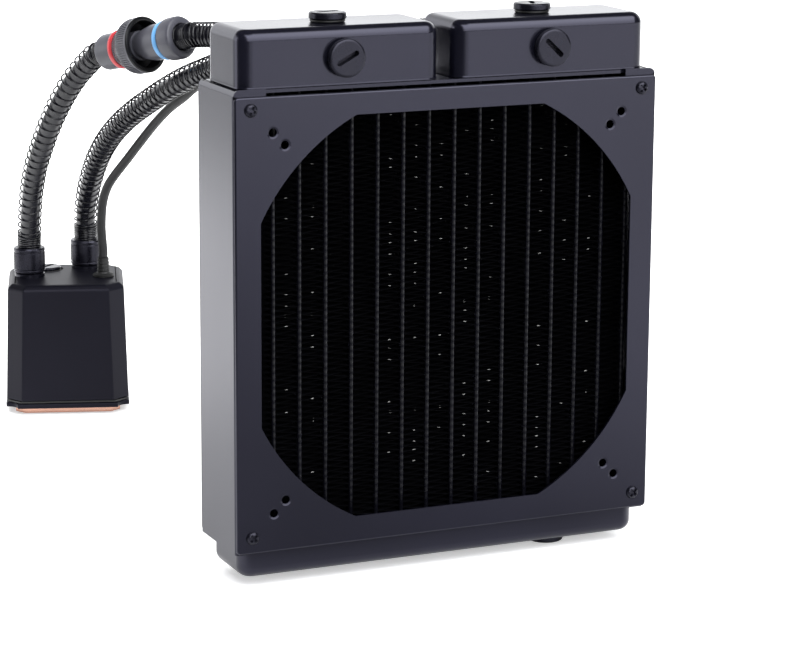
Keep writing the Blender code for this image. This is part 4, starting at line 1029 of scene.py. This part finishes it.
for name, route in routes.items():
    points, length = smooth_route(route, route_step)
    hose = cord_line(name.replace("hose", "rubber_hose"), sagged(points, hose_sag), hose_radius, 6)
    fit(hose, hose_rubber, "cooler", "hose", name)
    wire = wound(points[1:-1], spring_radius, pitch_of(name, length))
    spring = cord_line(name.replace("hose", "wire_spring"), wire, wire_radius, 1)
    take(spring)
    bpy.ops.object.convert(target="MESH")
    spring = bpy.context.object
    smooth(spring, 60)
    fit(spring, spring_enamel, "cooler", "hose")


# Pump cable
# Three thin wires in a braided black sleeve, from the boot on the pump to a small
# three way connector. It hangs over the return hose and lies on the surface.

cable_radius = 2.5 * mm
cable_route = [(-44.6, 151.6, 98.0), (-44.6, 148.8, 112.0), (-43.4, 143.6, 122.0), (-41.2, 136.2, 130.0),
               (-38.6, 126.2, 138.6), (-36.2, 113.8, 148.6), (-34.4, 101.0, 158.0), (-33.0, 87.4, 166.8),
               (-31.9, 71.2, 175.4), (-31.0, 55.0, 182.4), (-29.6, 39.6, 190.1), (-27.2, 24.0, 196.7),
               (-24.0, 5.0, 204.7), (-21.6, -12.0, 212.1), (-22.6, -27.0, 218.4), (-28.6, -39.0, 225.2),
               (-38.2, -47.6, 229.4), (-49.4, -56.2, 228.2), (-58.6, -66.0, 216.6), (-63.4, -75.4, 196.0),
               (-65.0, -82.5, 165.0), (-66.4, -86.5, 125.0), (-66.4, -89.0, 85.0), (-65.0, -90.6, 50.0),
               (-60.6, -92.0, 24.0), (-51.4, -93.6, 8.4), (-37.6, -95.6, 3.0), (-20.0, -98.0, 2.9),
               (-2.0, -101.0, 2.9), (14.0, -105.2, 2.9)]
cable_end = Vector((28.0, -110.4, 2.9)) * mm
cable_start = Vector((to_gland.x, to_gland.y, gland_high.z + 0.3 * mm))
braid = finish("braided_sleeve", (0.012, 0.012, 0.013), 0.6, grain=1800, relief=0.5, patch=300, tone=0.5)
route = [cable_start, cable_start + up * 4 * mm, *metres(cable_route), cable_end]
points, length = smooth_route(route, route_step)
cable = cord_line("sleeved_cable", points, cable_radius, 4)
fit(cable, braid, "cooler", "sleeving", "pump_cable")
holder = copied("cable_plug", "cable_connector")
soften(holder, 0.25 * mm, 2)
smooth(holder, 30)
fit(holder, seal_rubber, "cooler", "rubber", "cable_plug")


# Inner pieces
# What the housing hides keeps its solids: the headers, the pump's chamber, can, rotor,
# shaft, coils and board, and the base seal.

steel = finish("ground_steel", (0.5, 0.5, 0.52), 0.3, 1.0, grain=900, relief=0.05)
board_green = finish("board_lacquer", (0.02, 0.12, 0.05), 0.4, grain=600, relief=0.05)
inner = {
    "lower_header": black_paint, "upper_header": black_paint, "base_seal": seal_rubber,
    "pump_chamber": pump_plastic, "rotor_can": pump_plastic, "rotor": black_plating, "rotor_shaft": steel,
    "stator": steel, "circuit_board": board_green,
}
for name, material in inner.items():
    node = frame["nodes"][name]
    node.data.materials.clear()
    node.data.materials.append(material)


# Studio
# White paper under and behind the cooler, lit by a wide lamp overhead. Broad lights in
# front, at the left and behind show only in the paint. The rest of the room is dark.

def ramp(tree, value, start, end, low=0.0, high=1.0):
    """Goes smoothly from low to high as the value goes from start to end."""
    step = tree.nodes.new("ShaderNodeMapRange")
    step.interpolation_type = "SMOOTHSTEP"
    for place, number in (("From Min", start), ("From Max", end), ("To Min", low), ("To Max", high)):
        step.inputs[place].default_value = number
    tree.links.new(value, step.inputs["Value"])
    return step.outputs["Result"]


def combine(tree, kind, *values):
    """Joins values by one kind of sum."""
    total = values[0]
    for value in values[1:]:
        step = tree.nodes.new("ShaderNodeMath")
        step.operation = kind
        tree.links.new(total, step.inputs[0])
        tree.links.new(value, step.inputs[1])
        total = step.outputs[0]
    return total


paper_left = -0.5
put_down()
bpy.ops.mesh.primitive_plane_add(size=8, location=(paper_left + 4, 0, 0))
floor = bpy.context.object
floor.name = "paper"
bpy.ops.object.transform_apply(location=True)
paper = bpy.data.materials.new("paper")
paper.use_nodes = True
tree = paper.node_tree
link = tree.links.new
sheen = tree.nodes["Principled BSDF"]
sheen.inputs["Roughness"].default_value = 0.8
sheen.inputs["Specular IOR Level"].default_value = 0.2
rays = tree.nodes.new("ShaderNodeLightPath")
place = tree.nodes.new("ShaderNodeTexCoord")
parts = tree.nodes.new("ShaderNodeSeparateXYZ")
link(place.outputs["Object"], parts.inputs[0])
pale = 0.9
paleness = combine(tree, "MAXIMUM", ramp(tree, rays.outputs["Is Glossy Ray"], 0, 1, pale, 0),
                   ramp(tree, parts.outputs["X"], 0.0, 0.42, 0.3, pale),
                   ramp(tree, parts.outputs["Y"], -0.27, -0.2, 0, pale))
link(paleness, sheen.inputs["Base Color"])
glow = tree.nodes.new("ShaderNodeEmission")
away = tree.nodes.new("ShaderNodeVectorMath")
away.operation = "LENGTH"
link(place.outputs["Object"], away.inputs[0])
lifted = ramp(tree, away.outputs["Value"], 0.35, 1.5, 0.42)
seen = combine(tree, "MULTIPLY", lifted, rays.outputs["Is Camera Ray"])
behind = ramp(tree, parts.outputs["Y"], 0.0, 0.25, 0, 0.6)
before = ramp(tree, parts.outputs["Y"], -2.1, -1.05, 1.05, 0)
shown = combine(tree, "MULTIPLY", combine(tree, "ADD", behind, before), rays.outputs["Is Glossy Ray"])
link(combine(tree, "ADD", seen, shown), glow.inputs["Strength"])
both = tree.nodes.new("ShaderNodeAddShader")
link(sheen.outputs[0], both.inputs[0])
link(glow.outputs[0], both.inputs[1])
link(both.outputs[0], tree.nodes["Material Output"].inputs["Surface"])
floor.data.materials.append(paper)

world = bpy.data.worlds.new("studio")
bpy.context.scene.world = world
world.use_nodes = True
tree = world.node_tree
rays = tree.nodes.new("ShaderNodeLightPath")
direction = tree.nodes.new("ShaderNodeTexCoord")
parts = tree.nodes.new("ShaderNodeSeparateXYZ")
tree.links.new(direction.outputs["Generated"], parts.inputs[0])
x, y, z = parts.outputs
wall = combine(tree, "MULTIPLY", ramp(tree, y, 0.1, 0.5), ramp(tree, z, -0.06, 0.04, 1.0, 1.8),
               ramp(tree, z, 0.35, 0.55, 1, 0))
side = combine(tree, "MULTIPLY", ramp(tree, x, -0.95, -0.7, 2.0, 0), ramp(tree, y, 0.15, 0.35),
               ramp(tree, z, 0.35, 0.5, 1, 0))
strip = combine(tree, "MULTIPLY", ramp(tree, y, -0.3, -0.1, 3.0, 0), ramp(tree, z, -0.02, 0.08),
                ramp(tree, z, 0.84, 0.96, 1, 0), ramp(tree, z, 0.2, 0.7, 1, 1.6),
                ramp(tree, x, -0.55, -0.3), ramp(tree, x, 0.6, 0.75, 1, 0))
dusk = tree.nodes.new("ShaderNodeValue")
dusk.outputs[0].default_value = 0.07
level = combine(tree, "ADD", wall, side, strip, dusk.outputs[0])
sky = tree.nodes["Background"]
tree.links.new(combine(tree, "MAXIMUM", level, rays.outputs["Is Camera Ray"]), sky.inputs["Strength"])
sky.inputs["Color"].default_value = (0.97, 0.98, 1, 1)

data = bpy.data.lights.new("overhead", "AREA")
data.energy = 62
data.size = 2.2
lamp = placed("overhead", data)
lamp.location = (-0.1, 0.9, 2.0)
lamp.rotation_euler = (Vector((0, 0.1, 0)) - lamp.location).to_track_quat("-Z", "Y").to_euler()
lamp.visible_glossy = False

bpy.context.scene.view_settings.view_transform = "Standard"
